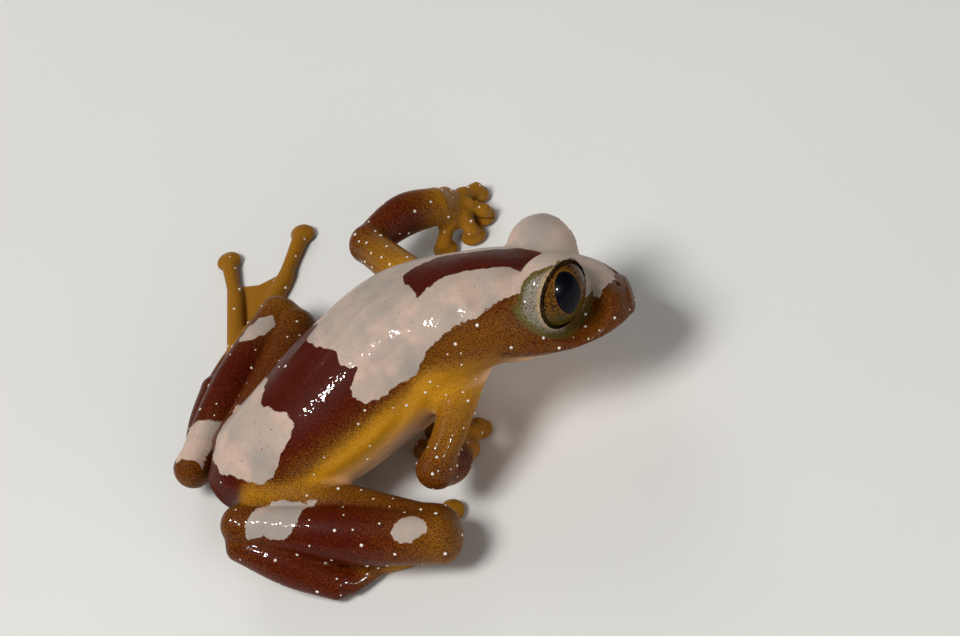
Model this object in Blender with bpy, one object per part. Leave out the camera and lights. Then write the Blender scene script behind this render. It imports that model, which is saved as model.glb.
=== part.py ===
"""A foulassi banana frog (a small African reed frog), life size, resting on a flat floor.

The frog faces +X, its left side is +Y and the floor is Z = 0.
Every size is in millimetres. The finished meshes are scaled to metres at the end.
"""

import math
from dataclasses import dataclass, replace

import bmesh
import bpy
import numpy as np
from mathutils import Matrix, Vector

# Scale and gaps
METRE = 0.001
GAP = 0.3
WELD = 0.003
FLOOR_CUTTER = 90.0

# Head frame: midway between the eyeballs, turned a little right, down and rolled left
HEAD_ORIGIN = Vector((24.67, -1.60, 9.20))
HEAD_FORWARD = Vector((0.961, -0.239, -0.141)).normalized()
HEAD_LEFT = Vector((0.166, 0.902, -0.398)).normalized()
HEAD_UP = HEAD_FORWARD.cross(HEAD_LEFT).normalized()

# Eyes
EYE_OFFSET = 3.0
EYE_RADIUS = 2.3
EYE_RIM = 2.0
EYE_DEPTH = 0.9
EYE_AXIS = (0.66, 0.75, 0.0)
EYE_SKIN = 0.12
LID_RADIUS = 2.4
LID_WIDTH = 0.22
LID_HEIGHT = 0.65

# Mouth, neck and nostrils, in the head frame
MOUTH_HEIGHT = -3.15
NECK_PLANE = -4.6
NOSTRIL_PLACE = (3.75, 0.95, -1.35)
NOSTRIL_RADIUS = 0.3

# Digits
DIGIT_HALF_WIDTH = 0.42
DISC_HALF_WIDTH = 0.72
DIGIT_HEIGHT = 0.42
WEB_THICKNESS = 0.55

# Faces round each kind of tube
BODY_RINGS = 24
BODY_SIDES = 24
LIMB_SIDES = 12
DIGIT_SIDES = 8
EYE_SIDES = 20


@dataclass(frozen=True)
class Station:
    """One cross-section of a tube: its centre, its up direction and its half sizes."""

    centre: tuple
    wide: float
    top: float
    bottom: float
    up: tuple = (0.0, 0.0, 1.0)
    square: float = 2.0


def rolled(degrees):
    """The up direction of a cross-section that leans to the frog's left by this angle."""
    angle = math.radians(degrees)
    return (0.0, math.sin(angle), math.cos(angle))


def head_point(forward, left, up):
    """A point given in the head frame, in the frog's own frame."""
    return HEAD_ORIGIN + HEAD_FORWARD * forward + HEAD_LEFT * left + HEAD_UP * up


def head_station(forward, centre, wide, top, bottom, square):
    """A cross-section of the head, with its top and bottom as heights in the head frame."""
    place = head_point(forward, 0.0, centre)
    return Station(tuple(place), wide, top - centre, centre - bottom, tuple(HEAD_UP), square)


# The trunk from the rump to the shoulders, then the head out to the snout
TRUNK = [
    Station((0.6, -0.2, 3.2), 1.6, 1.4, 1.3, rolled(8)),
    Station((1.9, -0.2, 3.7), 2.7, 2.2, 2.1, rolled(8)),
    Station((4.0, -0.1, 4.3), 3.7, 3.0, 3.1, rolled(9)),
    Station((7.3, -0.1, 4.9), 4.9, 3.8, 4.0, rolled(11)),
    Station((10.9, 0.3, 5.7), 5.3, 4.3, 4.3, rolled(13)),
    Station((15.4, 0.55, 6.6), 5.4, 4.7, 4.3, rolled(17)),
]
HEAD = [
    head_station(-4.6, -1.9, 4.95, 1.7, -4.9, 2.1),
    head_station(-2.2, -2.4, 4.9, 1.35, -4.65, 2.2),
    head_station(0.2, -2.6, 4.75, 0.9, -4.4, 2.3),
    head_station(2.2, -2.7, 3.9, 0.0, -4.15, 2.3),
    head_station(3.6, -2.7, 2.8, -1.1, -3.85, 2.3),
    head_station(4.3, -2.7, 1.8, -1.7, -3.6, 2.2),
]


@dataclass(frozen=True)
class Limb:
    """A limb segment: its joints and middle, with a half width and half height at each."""

    points: tuple
    wide: tuple
    high: tuple
    up: tuple = (0.0, 0.0, 1.0)


LIMBS = {
    "thigh_right": Limb(
        ((2.9, -2.4, 3.8), (7.6, -6.9, 2.9), (11.3, -10.2, 2.5)), (1.9, 1.65, 1.35), (2.0, 1.8, 1.45)
    ),
    "shank_right": Limb(
        ((11.3, -11.3, 2.8), (6.0, -7.9, 3.3), (0.6, -3.9, 3.8)), (1.5, 1.75, 1.15), (1.65, 1.9, 1.25)
    ),
    "tarsus_right": Limb(
        ((0.0, -4.5, 2.8), (2.3, -7.2, 2.1), (4.5, -9.2, 0.95)), (1.0, 1.25, 1.1), (1.1, 1.3, 1.0)
    ),
    "thigh_left": Limb(
        ((2.6, 1.9, 3.5), (6.2, 5.8, 2.9), (9.0, 10.0, 2.5)), (1.9, 1.7, 1.3), (2.0, 1.85, 1.4)
    ),
    "shank_left": Limb(
        ((8.6, 11.5, 2.7), (3.75, 7.2, 2.95), (-0.8, 3.1, 2.5)), (1.4, 1.55, 1.1), (1.5, 1.7, 1.2)
    ),
    "tarsus_left": Limb(
        ((-0.4, 4.1, 1.8), (0.9, 7.1, 1.4), (2.6, 9.9, 0.9)), (0.85, 0.95, 1.0), (0.9, 1.0, 0.95)
    ),
    "upper_arm_right": Limb(
        ((17.3, -3.4, 6.6), (14.9, -6.1, 5.6), (12.7, -7.7, 4.5)), (1.35, 1.05, 0.98), (1.35, 1.05, 0.98)
    ),
    "forearm_right": Limb(
        ((12.9, -7.5, 3.9), (13.9, -6.6, 3.0), (14.9, -5.3, 2.1)), (0.95, 1.15, 0.8), (0.95, 1.15, 0.75)
    ),
    "upper_arm_left": Limb(
        ((17.4, 4.4, 6.4), (16.5, 8.4, 5.4), (15.7, 12.0, 4.4)), (1.4, 1.25, 1.15), (1.4, 1.25, 1.15)
    ),
    "forearm_left": Limb(
        ((15.8, 12.4, 4.2), (18.7, 13.6, 3.7), (21.0, 13.8, 2.9)), (1.1, 1.45, 1.35), (1.1, 1.35, 1.15)
    ),
}

# The order in which a limb piece makes way: each is cut clear of those before it
PARENTS = {
    "shank_right": ("torso",),
    "thigh_right": ("torso", "shank_right"),
    "tarsus_right": ("torso", "shank_right", "thigh_right"),
    "foot_right": ("torso", "shank_right", "thigh_right", "tarsus_right"),
    "shank_left": ("torso",),
    "thigh_left": ("torso", "shank_left"),
    "tarsus_left": ("torso", "shank_left", "thigh_left"),
    "foot_left": ("torso", "shank_left", "thigh_left", "tarsus_left"),
    "upper_arm_right": ("torso",),
    "forearm_right": ("torso", "upper_arm_right"),
    "hand_right": ("torso", "forearm_right", "upper_arm_right"),
    "upper_arm_left": ("torso",),
    "forearm_left": ("torso", "upper_arm_left"),
    "hand_left": ("torso", "forearm_left", "upper_arm_left"),
}


@dataclass(frozen=True)
class Paw:
    """A hand or foot: the palm's root, and each digit's knuckle and tip on the floor."""

    root: tuple
    palm: tuple
    knuckles: tuple
    tips: tuple
    digit: str
    webbed: bool


PAWS = {
    "foot_left": Paw(
        root=(2.8, 10.1, 0.8),
        palm=(0.95, 0.7),
        knuckles=((5.0, 10.7), (6.3, 11.6), (7.7, 13.0), (9.5, 16.2), (6.3, 16.9)),
        tips=((6.6, 10.2), (8.2, 11.1), (9.9, 13.3), (12.78, 20.2), (7.17, 21.16)),
        digit="toe_left",
        webbed=True,
    ),
    "foot_right": Paw(
        root=(5.0, -9.3, 0.85),
        palm=(1.0, 0.7),
        knuckles=((6.4, -7.9), (7.6, -7.9), (8.9, -8.1), (10.3, -8.4), (8.9, -9.5)),
        tips=((7.2, -6.0), (9.0, -6.0), (10.9, -6.4), (13.4, -7.5), (11.7, -10.3)),
        digit="toe_right",
        webbed=True,
    ),
    "hand_left": Paw(
        root=(21.4, 14.1, 2.3),
        palm=(1.5, 1.0),
        knuckles=((21.0, 13.1), (22.3, 13.0), (23.0, 13.8), (22.9, 15.0)),
        tips=((19.7, 11.8), (22.3, 11.5), (24.2, 13.0), (24.6, 15.8)),
        digit="finger_left",
        webbed=False,
    ),
    "hand_right": Paw(
        root=(15.0, -5.1, 1.7),
        palm=(1.05, 0.75),
        knuckles=((13.6, -3.2), (14.4, -2.6), (15.4, -2.6), (16.1, -3.5)),
        tips=((12.5, -1.7), (14.0, -0.6), (15.8, -0.6), (17.0, -2.3)),
        digit="finger_right",
        webbed=False,
    ),
}


def catmull(values, count):
    """`count` values on a smooth curve through the given ones, spaced by their chord length."""
    points = np.array(values, float).reshape(len(values), -1)
    ends = np.vstack([2 * points[0] - points[1], points, 2 * points[-1] - points[-2]])
    found = []
    for place in np.linspace(0, len(points) - 1, count):
        i = min(int(place), len(points) - 2)
        t = place - i
        a, b, c, d = ends[i : i + 4]
        found.append(
            0.5 * (2 * b + (c - a) * t + (2 * a - 5 * b + 4 * c - d) * t**2 + (3 * b - a - 3 * c + d) * t**3)
        )
    return np.array(found)


def ring(station, tangent, sides, grow):
    """The points of one cross-section, clockwise seen along the tangent."""
    up = Vector(station.up)
    side = up.cross(tangent).normalized()
    up = tangent.cross(side).normalized()
    points = []
    for k in range(sides):
        angle = 2 * math.pi * k / sides
        across = math.copysign(abs(math.cos(angle)) ** (2 / station.square), math.cos(angle))
        above = math.copysign(abs(math.sin(angle)) ** (2 / station.square), math.sin(angle))
        high = station.top if above > 0 else station.bottom
        points.append(
            Vector(station.centre) + side * across * (station.wide + grow) + up * above * (high + grow)
        )
    return points


def loft(stations, rings, sides, grow=0.0, cap=0.75, name="loft"):
    """A closed tube through the stations, with rounded ends that reach `cap` of their radius."""
    packed = catmull(
        [(*s.centre, s.wide, s.top, s.bottom, *s.up, s.square) for s in stations], rings
    )
    smooth = [
        Station(tuple(row[:3]), row[3], row[4], row[5], tuple(row[6:9]), row[9]) for row in packed
    ]
    middles = [Vector(s.centre) for s in smooth]
    tangents = [
        (middles[min(i + 1, rings - 1)] - middles[max(i - 1, 0)]).normalized() for i in range(rings)
    ]
    loops = [ring(s, t, sides, grow) for s, t in zip(smooth, tangents)]
    ends = []
    for station, tangent, direction in ((smooth[0], tangents[0], -1), (smooth[-1], tangents[-1], 1)):
        reach = cap * (station.top + station.bottom + station.wide) / 3 + grow
        steps = []
        for angle in (math.radians(32), math.radians(62)):
            shrunk = replace(
                station,
                centre=tuple(Vector(station.centre) + tangent * direction * reach * math.sin(angle)),
                wide=(station.wide + grow) * math.cos(angle),
                top=(station.top + grow) * math.cos(angle),
                bottom=(station.bottom + grow) * math.cos(angle),
            )
            steps.append(ring(shrunk, tangent, sides, 0.0))
        ends.append((steps, Vector(station.centre) + tangent * direction * reach))
    loops = ends[0][0][::-1] + loops + ends[1][0]

    mesh = bmesh.new()
    rows = [[mesh.verts.new(point) for point in loop] for loop in loops]
    for row, following in zip(rows, rows[1:]):
        for k in range(sides):
            n = (k + 1) % sides
            mesh.faces.new((row[k], row[n], following[n], following[k]))
    for row, pole in ((rows[0], ends[0][1]), (rows[-1], ends[1][1])):
        tip = mesh.verts.new(pole)
        for k in range(sides):
            mesh.faces.new((row[k], row[(k + 1) % sides], tip))
    bmesh.ops.recalc_face_normals(mesh, faces=mesh.faces)
    return made_object(mesh, name)


def made_object(mesh, name):
    """A new object from a bmesh, linked to the scene."""
    data = bpy.data.meshes.new(name)
    bmesh.ops.triangulate(mesh, faces=mesh.faces)
    mesh.to_mesh(data)
    mesh.free()
    obj = bpy.data.objects.new(name, data)
    bpy.context.scene.collection.objects.link(obj)
    return obj


def welded(obj):
    """Merges the points that a cut left closer together than the weld distance."""
    mesh = bmesh.new()
    mesh.from_mesh(obj.data)
    bmesh.ops.triangulate(mesh, faces=mesh.faces)
    bmesh.ops.remove_doubles(mesh, verts=mesh.verts, dist=WELD)
    bmesh.ops.dissolve_degenerate(mesh, dist=WELD, edges=mesh.edges)
    bmesh.ops.triangulate(mesh, faces=mesh.faces)
    mesh.to_mesh(obj.data)
    mesh.free()
    return obj


def boolean(obj, others, operation):
    """Joins the others to the object, or cuts them from it, and removes them."""
    gathered = bpy.data.collections.new("operands")
    for other in others:
        gathered.objects.link(other)
    modifier = obj.modifiers.new(operation.lower(), "BOOLEAN")
    modifier.operation = operation
    modifier.operand_type = "COLLECTION"
    modifier.solver = "EXACT"
    modifier.collection = gathered
    graph = bpy.context.evaluated_depsgraph_get()
    made = bpy.data.meshes.new_from_object(obj.evaluated_get(graph))
    obj.modifiers.remove(modifier)
    obj.data = made
    for other in others:
        bpy.data.objects.remove(other)
    bpy.data.collections.remove(gathered)
    return welded(obj)


def largest_piece(obj):
    """Keeps only the largest closed surface of the object."""
    mesh = bmesh.new()
    mesh.from_mesh(obj.data)
    left = set(mesh.verts)
    groups = []
    while left:
        stack = [left.pop()]
        group = set(stack)
        while stack:
            for edge in stack.pop().link_edges:
                for vert in edge.verts:
                    if vert in left:
                        left.remove(vert)
                        group.add(vert)
                        stack.append(vert)
        groups.append(group)
    groups.sort(key=len)
    dropped = [vert for group in groups[:-1] for vert in group]
    bmesh.ops.delete(mesh, geom=dropped, context="VERTS")
    mesh.to_mesh(obj.data)
    mesh.free()
    return obj


def box(low, high, matrix=None, name="box"):
    """A box between two corners, in the frog's frame or in another one."""
    mesh = bmesh.new()
    size = Vector(high) - Vector(low)
    bmesh.ops.create_cube(mesh, size=1.0)
    place = Matrix.Translation((Vector(high) + Vector(low)) / 2) @ Matrix.Diagonal((*size, 1.0))
    mesh.transform((matrix or Matrix.Identity(4)) @ place)
    return made_object(mesh, name)


def ball(centre, radius, name="ball"):
    """A sphere for a nostril or the swelling over an eye."""
    mesh = bmesh.new()
    bmesh.ops.create_uvsphere(mesh, u_segments=16, v_segments=10, radius=radius)
    mesh.transform(Matrix.Translation(centre))
    return made_object(mesh, name)


def turned(profile, matrix, segments, name):
    """A solid of revolution about its own Z axis, from (radius, height) points that end on the axis."""
    mesh = bmesh.new()
    verts = [mesh.verts.new((radius, 0.0, height)) for radius, height in profile]
    edges = [mesh.edges.new(pair) for pair in zip(verts, verts[1:])]
    bmesh.ops.spin(
        mesh, geom=verts + edges, cent=(0, 0, 0), axis=(0, 0, 1), angle=2 * math.pi, steps=segments
    )
    bmesh.ops.remove_doubles(mesh, verts=mesh.verts, dist=1e-4)
    bmesh.ops.recalc_face_normals(mesh, faces=mesh.faces)
    mesh.transform(matrix)
    return made_object(mesh, name)


def head_matrix():
    """The head frame as a matrix."""
    turn = Matrix((HEAD_FORWARD, HEAD_LEFT, HEAD_UP)).transposed().to_4x4()
    return Matrix.Translation(HEAD_ORIGIN) @ turn


def eye_matrix(side):
    """The frame of one eye, with Z along its optical axis; side is 1 for left and -1 for right."""
    forward, left, up = EYE_AXIS
    direction = HEAD_FORWARD * forward + HEAD_LEFT * left * side + HEAD_UP * up
    turn = direction.normalized().to_track_quat("Z", "Y").to_matrix().to_4x4()
    return Matrix.Translation(head_point(0.0, EYE_OFFSET * side, 0.0)) @ turn


def eye(side, grow=0.0):
    """The exposed cap of one eyeball with the short plug that sits in its socket."""
    rim = EYE_RIM + grow
    radius = EYE_RADIUS + grow
    rim_angle = math.asin(rim / radius)
    dome = [
        (radius * math.sin(rim_angle * k / 4), radius * math.cos(rim_angle * k / 4)) for k in range(5)
    ]
    base = math.sqrt(EYE_RADIUS**2 - EYE_RIM**2) - EYE_DEPTH - grow
    return turned(dome + [(rim, base), (0.0, base)], eye_matrix(side), EYE_SIDES, "eye")


def lid(side):
    """The raised rim of skin round the exposed part of one eye."""
    profile = [
        (LID_RADIUS + LID_WIDTH * math.cos(a), LID_HEIGHT + LID_WIDTH * math.sin(a))
        for a in np.linspace(0, 2 * math.pi, 7)
    ]
    return turned(profile, eye_matrix(side), EYE_SIDES, "lid")


def body(grow=0.0):
    """The trunk and head as one tube from the vent to the snout."""
    return loft(TRUNK + HEAD, BODY_RINGS, BODY_SIDES, grow, name="body")


def limb(name, grow=0.0):
    """One limb segment."""
    made = LIMBS[name]
    stations = [
        Station(point, wide, high, high, made.up)
        for point, wide, high in zip(made.points, made.wide, made.high)
    ]
    return loft(stations, 7, LIMB_SIDES, grow, name=name)


def digit_tube(start, end, widths, grow, name):
    """A run of digit lying along the floor, with half widths at its start, middle and end."""
    middle = tuple((a + b) / 2 for a, b in zip(start, end))
    stations = [
        Station(point, wide, DIGIT_HEIGHT, DIGIT_HEIGHT)
        for point, wide in zip((start, middle, end), widths)
    ]
    return loft(stations, 5, DIGIT_SIDES, grow, name=name)


def knuckle_height(paw):
    """How high the knuckles stand: a hand is arched, and a foot lies flat."""
    return DIGIT_HEIGHT - 0.04 if paw.webbed else max(DIGIT_HEIGHT, paw.root[2] * 0.62)


def web(paw, grow):
    """The thin skin between neighbouring toes, as one fan-shaped plate on the floor."""
    outline = [Vector((*paw.root[:2], 0.0))]
    for i, knuckle in enumerate(paw.knuckles):
        outline.append(Vector((*knuckle, 0.0)))
        if i + 1 < len(paw.knuckles):
            between = (Vector(knuckle) + Vector(paw.knuckles[i + 1])) / 2
            root = Vector(paw.root[:2])
            outline.append(Vector((*(root + (between - root) * 0.93), 0.0)))
    mesh = bmesh.new()
    face = mesh.faces.new([mesh.verts.new(point + Vector((0, 0, -grow))) for point in outline])
    raised = bmesh.ops.extrude_face_region(mesh, geom=[face])
    lifted = [item for item in raised["geom"] if isinstance(item, bmesh.types.BMVert)]
    bmesh.ops.translate(mesh, verts=lifted, vec=(0, 0, WEB_THICKNESS + 2 * grow))
    bmesh.ops.recalc_face_normals(mesh, faces=mesh.faces)
    return made_object(mesh, "web")


def palm(name, grow=0.0):
    """The palm or sole with the digits' first bones, joined into one piece."""
    paw = PAWS[name]
    wide, high = paw.palm
    height = knuckle_height(paw)
    centre = sum((Vector(k) for k in paw.knuckles), Vector((0, 0))) / len(paw.knuckles)
    pad = paw.root[2] * 0.75 if not paw.webbed else high
    middle = Vector(paw.root[:2]).lerp(centre, 0.45)
    stations = [
        Station(paw.root, wide, high, high),
        Station((*middle, pad), wide * 1.05, high * 0.9, high * 0.9),
        Station((*Vector(paw.root[:2]).lerp(centre, 0.8), height), wide * 0.9, high * 0.75, high * 0.75),
    ]
    pieces = [loft(stations, 6, LIMB_SIDES, grow, name="palm")]
    for knuckle in paw.knuckles:
        start = Vector((*middle, pad)).lerp(Vector((*knuckle, height)), 0.2)
        widths = (DIGIT_HALF_WIDTH * 1.2, DIGIT_HALF_WIDTH * 1.1, DIGIT_HALF_WIDTH)
        pieces.append(digit_tube(tuple(start), (*knuckle, height), widths, grow, "bone"))
    if paw.webbed:
        pieces.append(web(paw, grow))
    return boolean(pieces[0], pieces[1:], "UNION")


def digit(name, index):
    """One free digit from its knuckle to the round disc at its tip."""
    paw = PAWS[name]
    height = knuckle_height(paw)
    start = Vector((*paw.knuckles[index], height))
    end = Vector((*paw.tips[index], DIGIT_HEIGHT - 0.06))
    along = (end - start).normalized()
    disc = end - along * DISC_HALF_WIDTH
    stations = [
        Station(tuple(start), DIGIT_HALF_WIDTH, DIGIT_HEIGHT, DIGIT_HEIGHT),
        Station(tuple(start.lerp(disc, 0.6)), DIGIT_HALF_WIDTH * 0.9, DIGIT_HEIGHT, DIGIT_HEIGHT),
        Station(tuple(disc), DISC_HALF_WIDTH, DIGIT_HEIGHT, DIGIT_HEIGHT),
    ]
    return loft(stations, 6, DIGIT_SIDES, cap=1.1, name="digit")


def grown(name):
    """The shape of one node swelled by the gap, to cut its neighbours clear of it."""
    if name == "torso":
        return body(GAP)
    return palm(name, GAP) if name in PAWS else limb(name, GAP)


def above_floor(obj):
    """Cuts off what would sink into the floor, which leaves the small flats that bear the weight."""
    low = (-FLOOR_CUTTER, -FLOOR_CUTTER, -FLOOR_CUTTER / 4)
    return boolean(obj, [box(low, (FLOOR_CUTTER, FLOOR_CUTTER, 0.0))], "DIFFERENCE")


def material(name, colour, roughness):
    """A plain material with the part's own colour."""
    made = bpy.data.materials.new(name)
    made.use_nodes = True
    shader = made.node_tree.nodes["Principled BSDF"]
    shader.inputs["Base Color"].default_value = (*colour, 1.0)
    shader.inputs["Roughness"].default_value = roughness
    shader.inputs["Metallic"].default_value = 0.0
    made.diffuse_color = (*colour, 1.0)
    return made


def finish(obj, name, paint):
    """Names the node, dresses it, shades it smooth and brings it to metres."""
    largest_piece(obj)
    obj.name = name
    obj.data.name = name
    obj.data.materials.clear()
    obj.data.materials.append(paint)
    obj.data.transform(Matrix.Scale(METRE, 4))
    obj.data.shade_smooth()
    obj.data.set_sharp_from_angle(angle=math.radians(40))
    return obj


def head_and_trunk(skin, eye_paint):
    """The torso, head, lower jaw and eyes, parted by thin cuts."""
    frame = head_matrix()
    reach = 12.0
    half = GAP / 2
    neck = NECK_PLANE
    mouth = MOUTH_HEIGHT

    torso = boolean(
        body(), [box((neck - half, -reach, -reach), (reach, reach, reach), frame)], "DIFFERENCE"
    )
    head = body()
    swellings = []
    for side in (1, -1):
        swellings.append(ball(head_point(0.0, EYE_OFFSET * side, 0.0), EYE_RADIUS + EYE_SKIN))
        swellings.append(lid(side))
    boolean(head, swellings, "UNION")
    behind = box((-3 * reach, -2 * reach, -2 * reach), (neck + half, 2 * reach, 2 * reach), frame)
    below = box((-3 * reach, -reach, -reach), (reach, reach, mouth + half), frame)
    nostrils = [
        ball(head_point(NOSTRIL_PLACE[0], NOSTRIL_PLACE[1] * side, NOSTRIL_PLACE[2]), NOSTRIL_RADIUS)
        for side in (1, -1)
    ]
    sockets = [eye(side, GAP) for side in (1, -1)]
    for cutter in [behind, below, *nostrils, *sockets]:
        boolean(head, [cutter], "DIFFERENCE")

    jaw = body()
    above = box((-3 * reach, -2 * reach, mouth - half), (reach, 2 * reach, 2 * reach), frame)
    rear = box((-3 * reach, -reach, -reach), (neck + half, reach, reach), frame)
    for cutter in (above, rear):
        boolean(jaw, [cutter], "DIFFERENCE")

    finish(torso, "torso", skin["trunk"])
    finish(head, "head", skin["head"])
    finish(jaw, "lower_jaw", skin["head"])
    finish(eye(1), "eye_left", eye_paint)
    finish(eye(-1), "eye_right", eye_paint)


def limbs(skin):
    """Each limb segment, hand and foot, cut clear of what it grows from and folds against."""
    for name, before in PARENTS.items():
        piece = palm(name) if name in PAWS else limb(name)
        for other in before:
            boolean(piece, [grown(other)], "DIFFERENCE")
        above_floor(piece)
        finish(piece, name, skin["foot" if name in PAWS else "limb"])


def digits(skin):
    """Every toe and finger beyond its knuckle, in a loop over the paws."""
    for name, paw in PAWS.items():
        for index in range(len(paw.tips)):
            piece = digit(name, index)
            boolean(piece, [grown(name)], "DIFFERENCE")
            for other in PARENTS[name][1:]:
                boolean(piece, [grown(other)], "DIFFERENCE")
            above_floor(piece)
            finish(piece, f"{paw.digit}_{index + 1}", skin["foot"])


def centre_on_floor():
    """Moves the frog so that the origin is under the middle of its outline; the floor stays at 0."""
    corners = [vert.co for obj in bpy.data.objects for vert in obj.data.vertices]
    low = [min(corner[axis] for corner in corners) for axis in range(2)]
    high = [max(corner[axis] for corner in corners) for axis in range(2)]
    shift = Vector((-(low[0] + high[0]) / 2, -(low[1] + high[1]) / 2, 0.0))
    for obj in bpy.data.objects:
        obj.data.transform(Matrix.Translation(shift))
    return shift


def main():
    """Clears the scene and builds the frog, and returns how far it was moved to be centred."""
    for obj in list(bpy.data.objects):
        bpy.data.objects.remove(obj)
    skin = {
        "trunk": material("back_skin", (0.12, 0.03, 0.008), 0.35),
        "head": material("head_skin", (0.20, 0.07, 0.015), 0.35),
        "limb": material("limb_skin", (0.16, 0.04, 0.01), 0.3),
        "foot": material("amber_skin", (0.35, 0.14, 0.01), 0.3),
    }
    eye_paint = material("eye_surface", (0.05, 0.03, 0.01), 0.05)
    head_and_trunk(skin, eye_paint)
    limbs(skin)
    digits(skin)
    return centre_on_floor()


SHIFT = main()
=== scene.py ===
"""The look of a foulassi banana frog at rest on a pale studio floor, at life size.

Sizes are in millimetres in the frog's own frame, and are brought to metres once, when a piece is
built. The frog faces +X, its left side is +Y, the floor is Z = 0 and the origin is under its vent.
"""

from __future__ import annotations

import logging
import math
from collections.abc import Callable
from dataclasses import dataclass
from enum import Enum

import bpy
import numpy as np
from mathutils import Matrix, Vector


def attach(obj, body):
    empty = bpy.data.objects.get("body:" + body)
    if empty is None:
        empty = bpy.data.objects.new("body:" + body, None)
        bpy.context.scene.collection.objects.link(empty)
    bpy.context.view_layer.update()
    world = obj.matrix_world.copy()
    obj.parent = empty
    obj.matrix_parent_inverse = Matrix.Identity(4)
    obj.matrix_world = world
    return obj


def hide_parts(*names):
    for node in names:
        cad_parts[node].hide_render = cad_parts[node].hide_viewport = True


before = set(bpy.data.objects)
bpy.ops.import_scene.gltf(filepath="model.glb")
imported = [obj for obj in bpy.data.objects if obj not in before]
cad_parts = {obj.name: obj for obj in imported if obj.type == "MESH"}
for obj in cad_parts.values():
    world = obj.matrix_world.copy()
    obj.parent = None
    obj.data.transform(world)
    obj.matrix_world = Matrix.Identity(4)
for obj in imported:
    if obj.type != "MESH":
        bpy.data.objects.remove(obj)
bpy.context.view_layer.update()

log = logging.getLogger("frog")

MM = 0.001
CENTRE = (13.70012, 4.15144, 0.0)
FINE_STEP = 0.1
# The distance to the skin that empty space starts with
FAR = 5.0
# What keeps a division clear of zero
TINY = 1e-12
SMALL = 1e-5


def unit(vector: tuple[float, ...] | np.ndarray) -> np.ndarray:
    """The vector at length one."""
    array = np.asarray(vector, float)
    return array / np.linalg.norm(array)


def catmull(values: np.ndarray, count: int) -> np.ndarray:
    """Reads evenly spaced values off a smooth curve.

    Args:
        values: One row for each station that the curve runs through.
        count: How many rows to read.

    Returns:
        The rows, from the first station to the last.
    """
    ends = np.vstack([2 * values[0] - values[1], values, 2 * values[-1] - values[-2]])
    place = np.linspace(0, len(values) - 1, count)
    first = np.minimum(place.astype(int), len(values) - 2)
    t = (place - first)[:, None]
    a, b, c, d = (ends[first + k] for k in range(4))
    bend = 2 * a - 5 * b + 4 * c - d
    twist = 3 * b - a - 3 * c + d
    return 0.5 * (2 * b + (c - a) * t + bend * t**2 + twist * t**3)


def evenly_spaced(rows: np.ndarray, count: int) -> np.ndarray:
    """Reads rows at equal distances along the line that their first three columns draw.

    Args:
        rows: One row for each place, with its coordinates first.
        count: How many rows to read.

    Returns:
        The rows, from the first place to the last.
    """
    steps = np.linalg.norm(np.diff(rows[:, :3], axis=0), axis=1)
    travelled = np.concatenate([[0.0], np.cumsum(steps)])
    wanted = np.linspace(0.0, travelled[-1], count)
    return np.stack([np.interp(wanted, travelled, column) for column in rows.T], axis=1)


def softened(rows: np.ndarray, reach: int) -> np.ndarray:
    """Averages each row with those up to `reach` places before and after it.

    Args:
        rows: One row for each place.
        reach: How many places on each side count.

    Returns:
        As many rows, smoothed.
    """
    if reach < 1:
        return rows
    padded = np.vstack([rows[:1]] * reach + [rows] + [rows[-1:]] * reach)
    window = np.hanning(2 * reach + 3)[1:-1]
    window /= window.sum()
    return np.stack([np.convolve(column, window, "valid") for column in padded.T], axis=1)


def soft_min(a: np.ndarray, b: np.ndarray, radius: float) -> np.ndarray:
    """The union of two distances, with a fillet of about this radius where they meet."""
    overlap = np.maximum(radius - np.abs(a - b), 0.0) / radius
    return np.minimum(a, b) - overlap * overlap * radius * 0.25


def smooth_step(low: float, high: float, value: np.ndarray) -> np.ndarray:
    """Rises smoothly from 0 at `low` to 1 at `high`."""
    t = np.clip((value - low) / (high - low), 0.0, 1.0)
    return t * t * (3 - 2 * t)


class Side(Enum):
    """The two sides of the frog, as the sign of Y."""

    LEFT = 1
    RIGHT = -1


@dataclass(frozen=True)
class HeadFrame:
    """Where the head is, and how it is turned: its origin is midway between the eyeballs."""

    origin: tuple[float, float, float] = (24.67, -1.60, 9.20)
    forward: tuple[float, float, float] = (0.961, -0.239, -0.141)
    left: tuple[float, float, float] = (0.166, 0.902, -0.398)

    def axes(self) -> np.ndarray:
        """The forward, left and up directions, as rows."""
        forward, left = unit(self.forward), unit(self.left)
        return np.array([forward, left, unit(np.cross(forward, left))])

    def outward(self, local: tuple[float, float, float]) -> np.ndarray:
        """A place in the head frame, in the frog's own frame."""
        return np.array(self.origin) + np.array(local) @ self.axes()

    def local(self, points: np.ndarray) -> np.ndarray:
        """Places in the frog's own frame, in the head frame."""
        return (points - np.array(self.origin)) @ self.axes().T


HEAD = HeadFrame()
# The left nostril, in the head frame
NOSTRIL = (3.8, 0.95, -1.42)


@dataclass(frozen=True)
class Section:
    """One cross-section of a tube of flesh: its centre, half sizes, up direction and squareness."""

    centre: tuple[float, float, float]
    wide: float
    top: float
    bottom: float
    up: tuple[float, float, float] = (0.0, 0.0, 1.0)
    square: float = 2.0


@dataclass(frozen=True)
class Chart:
    """Where points lie on a tube: millimetres along it and round it, and their distance to it."""

    along: np.ndarray
    around: np.ndarray
    angle: np.ndarray
    distance: np.ndarray


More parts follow.
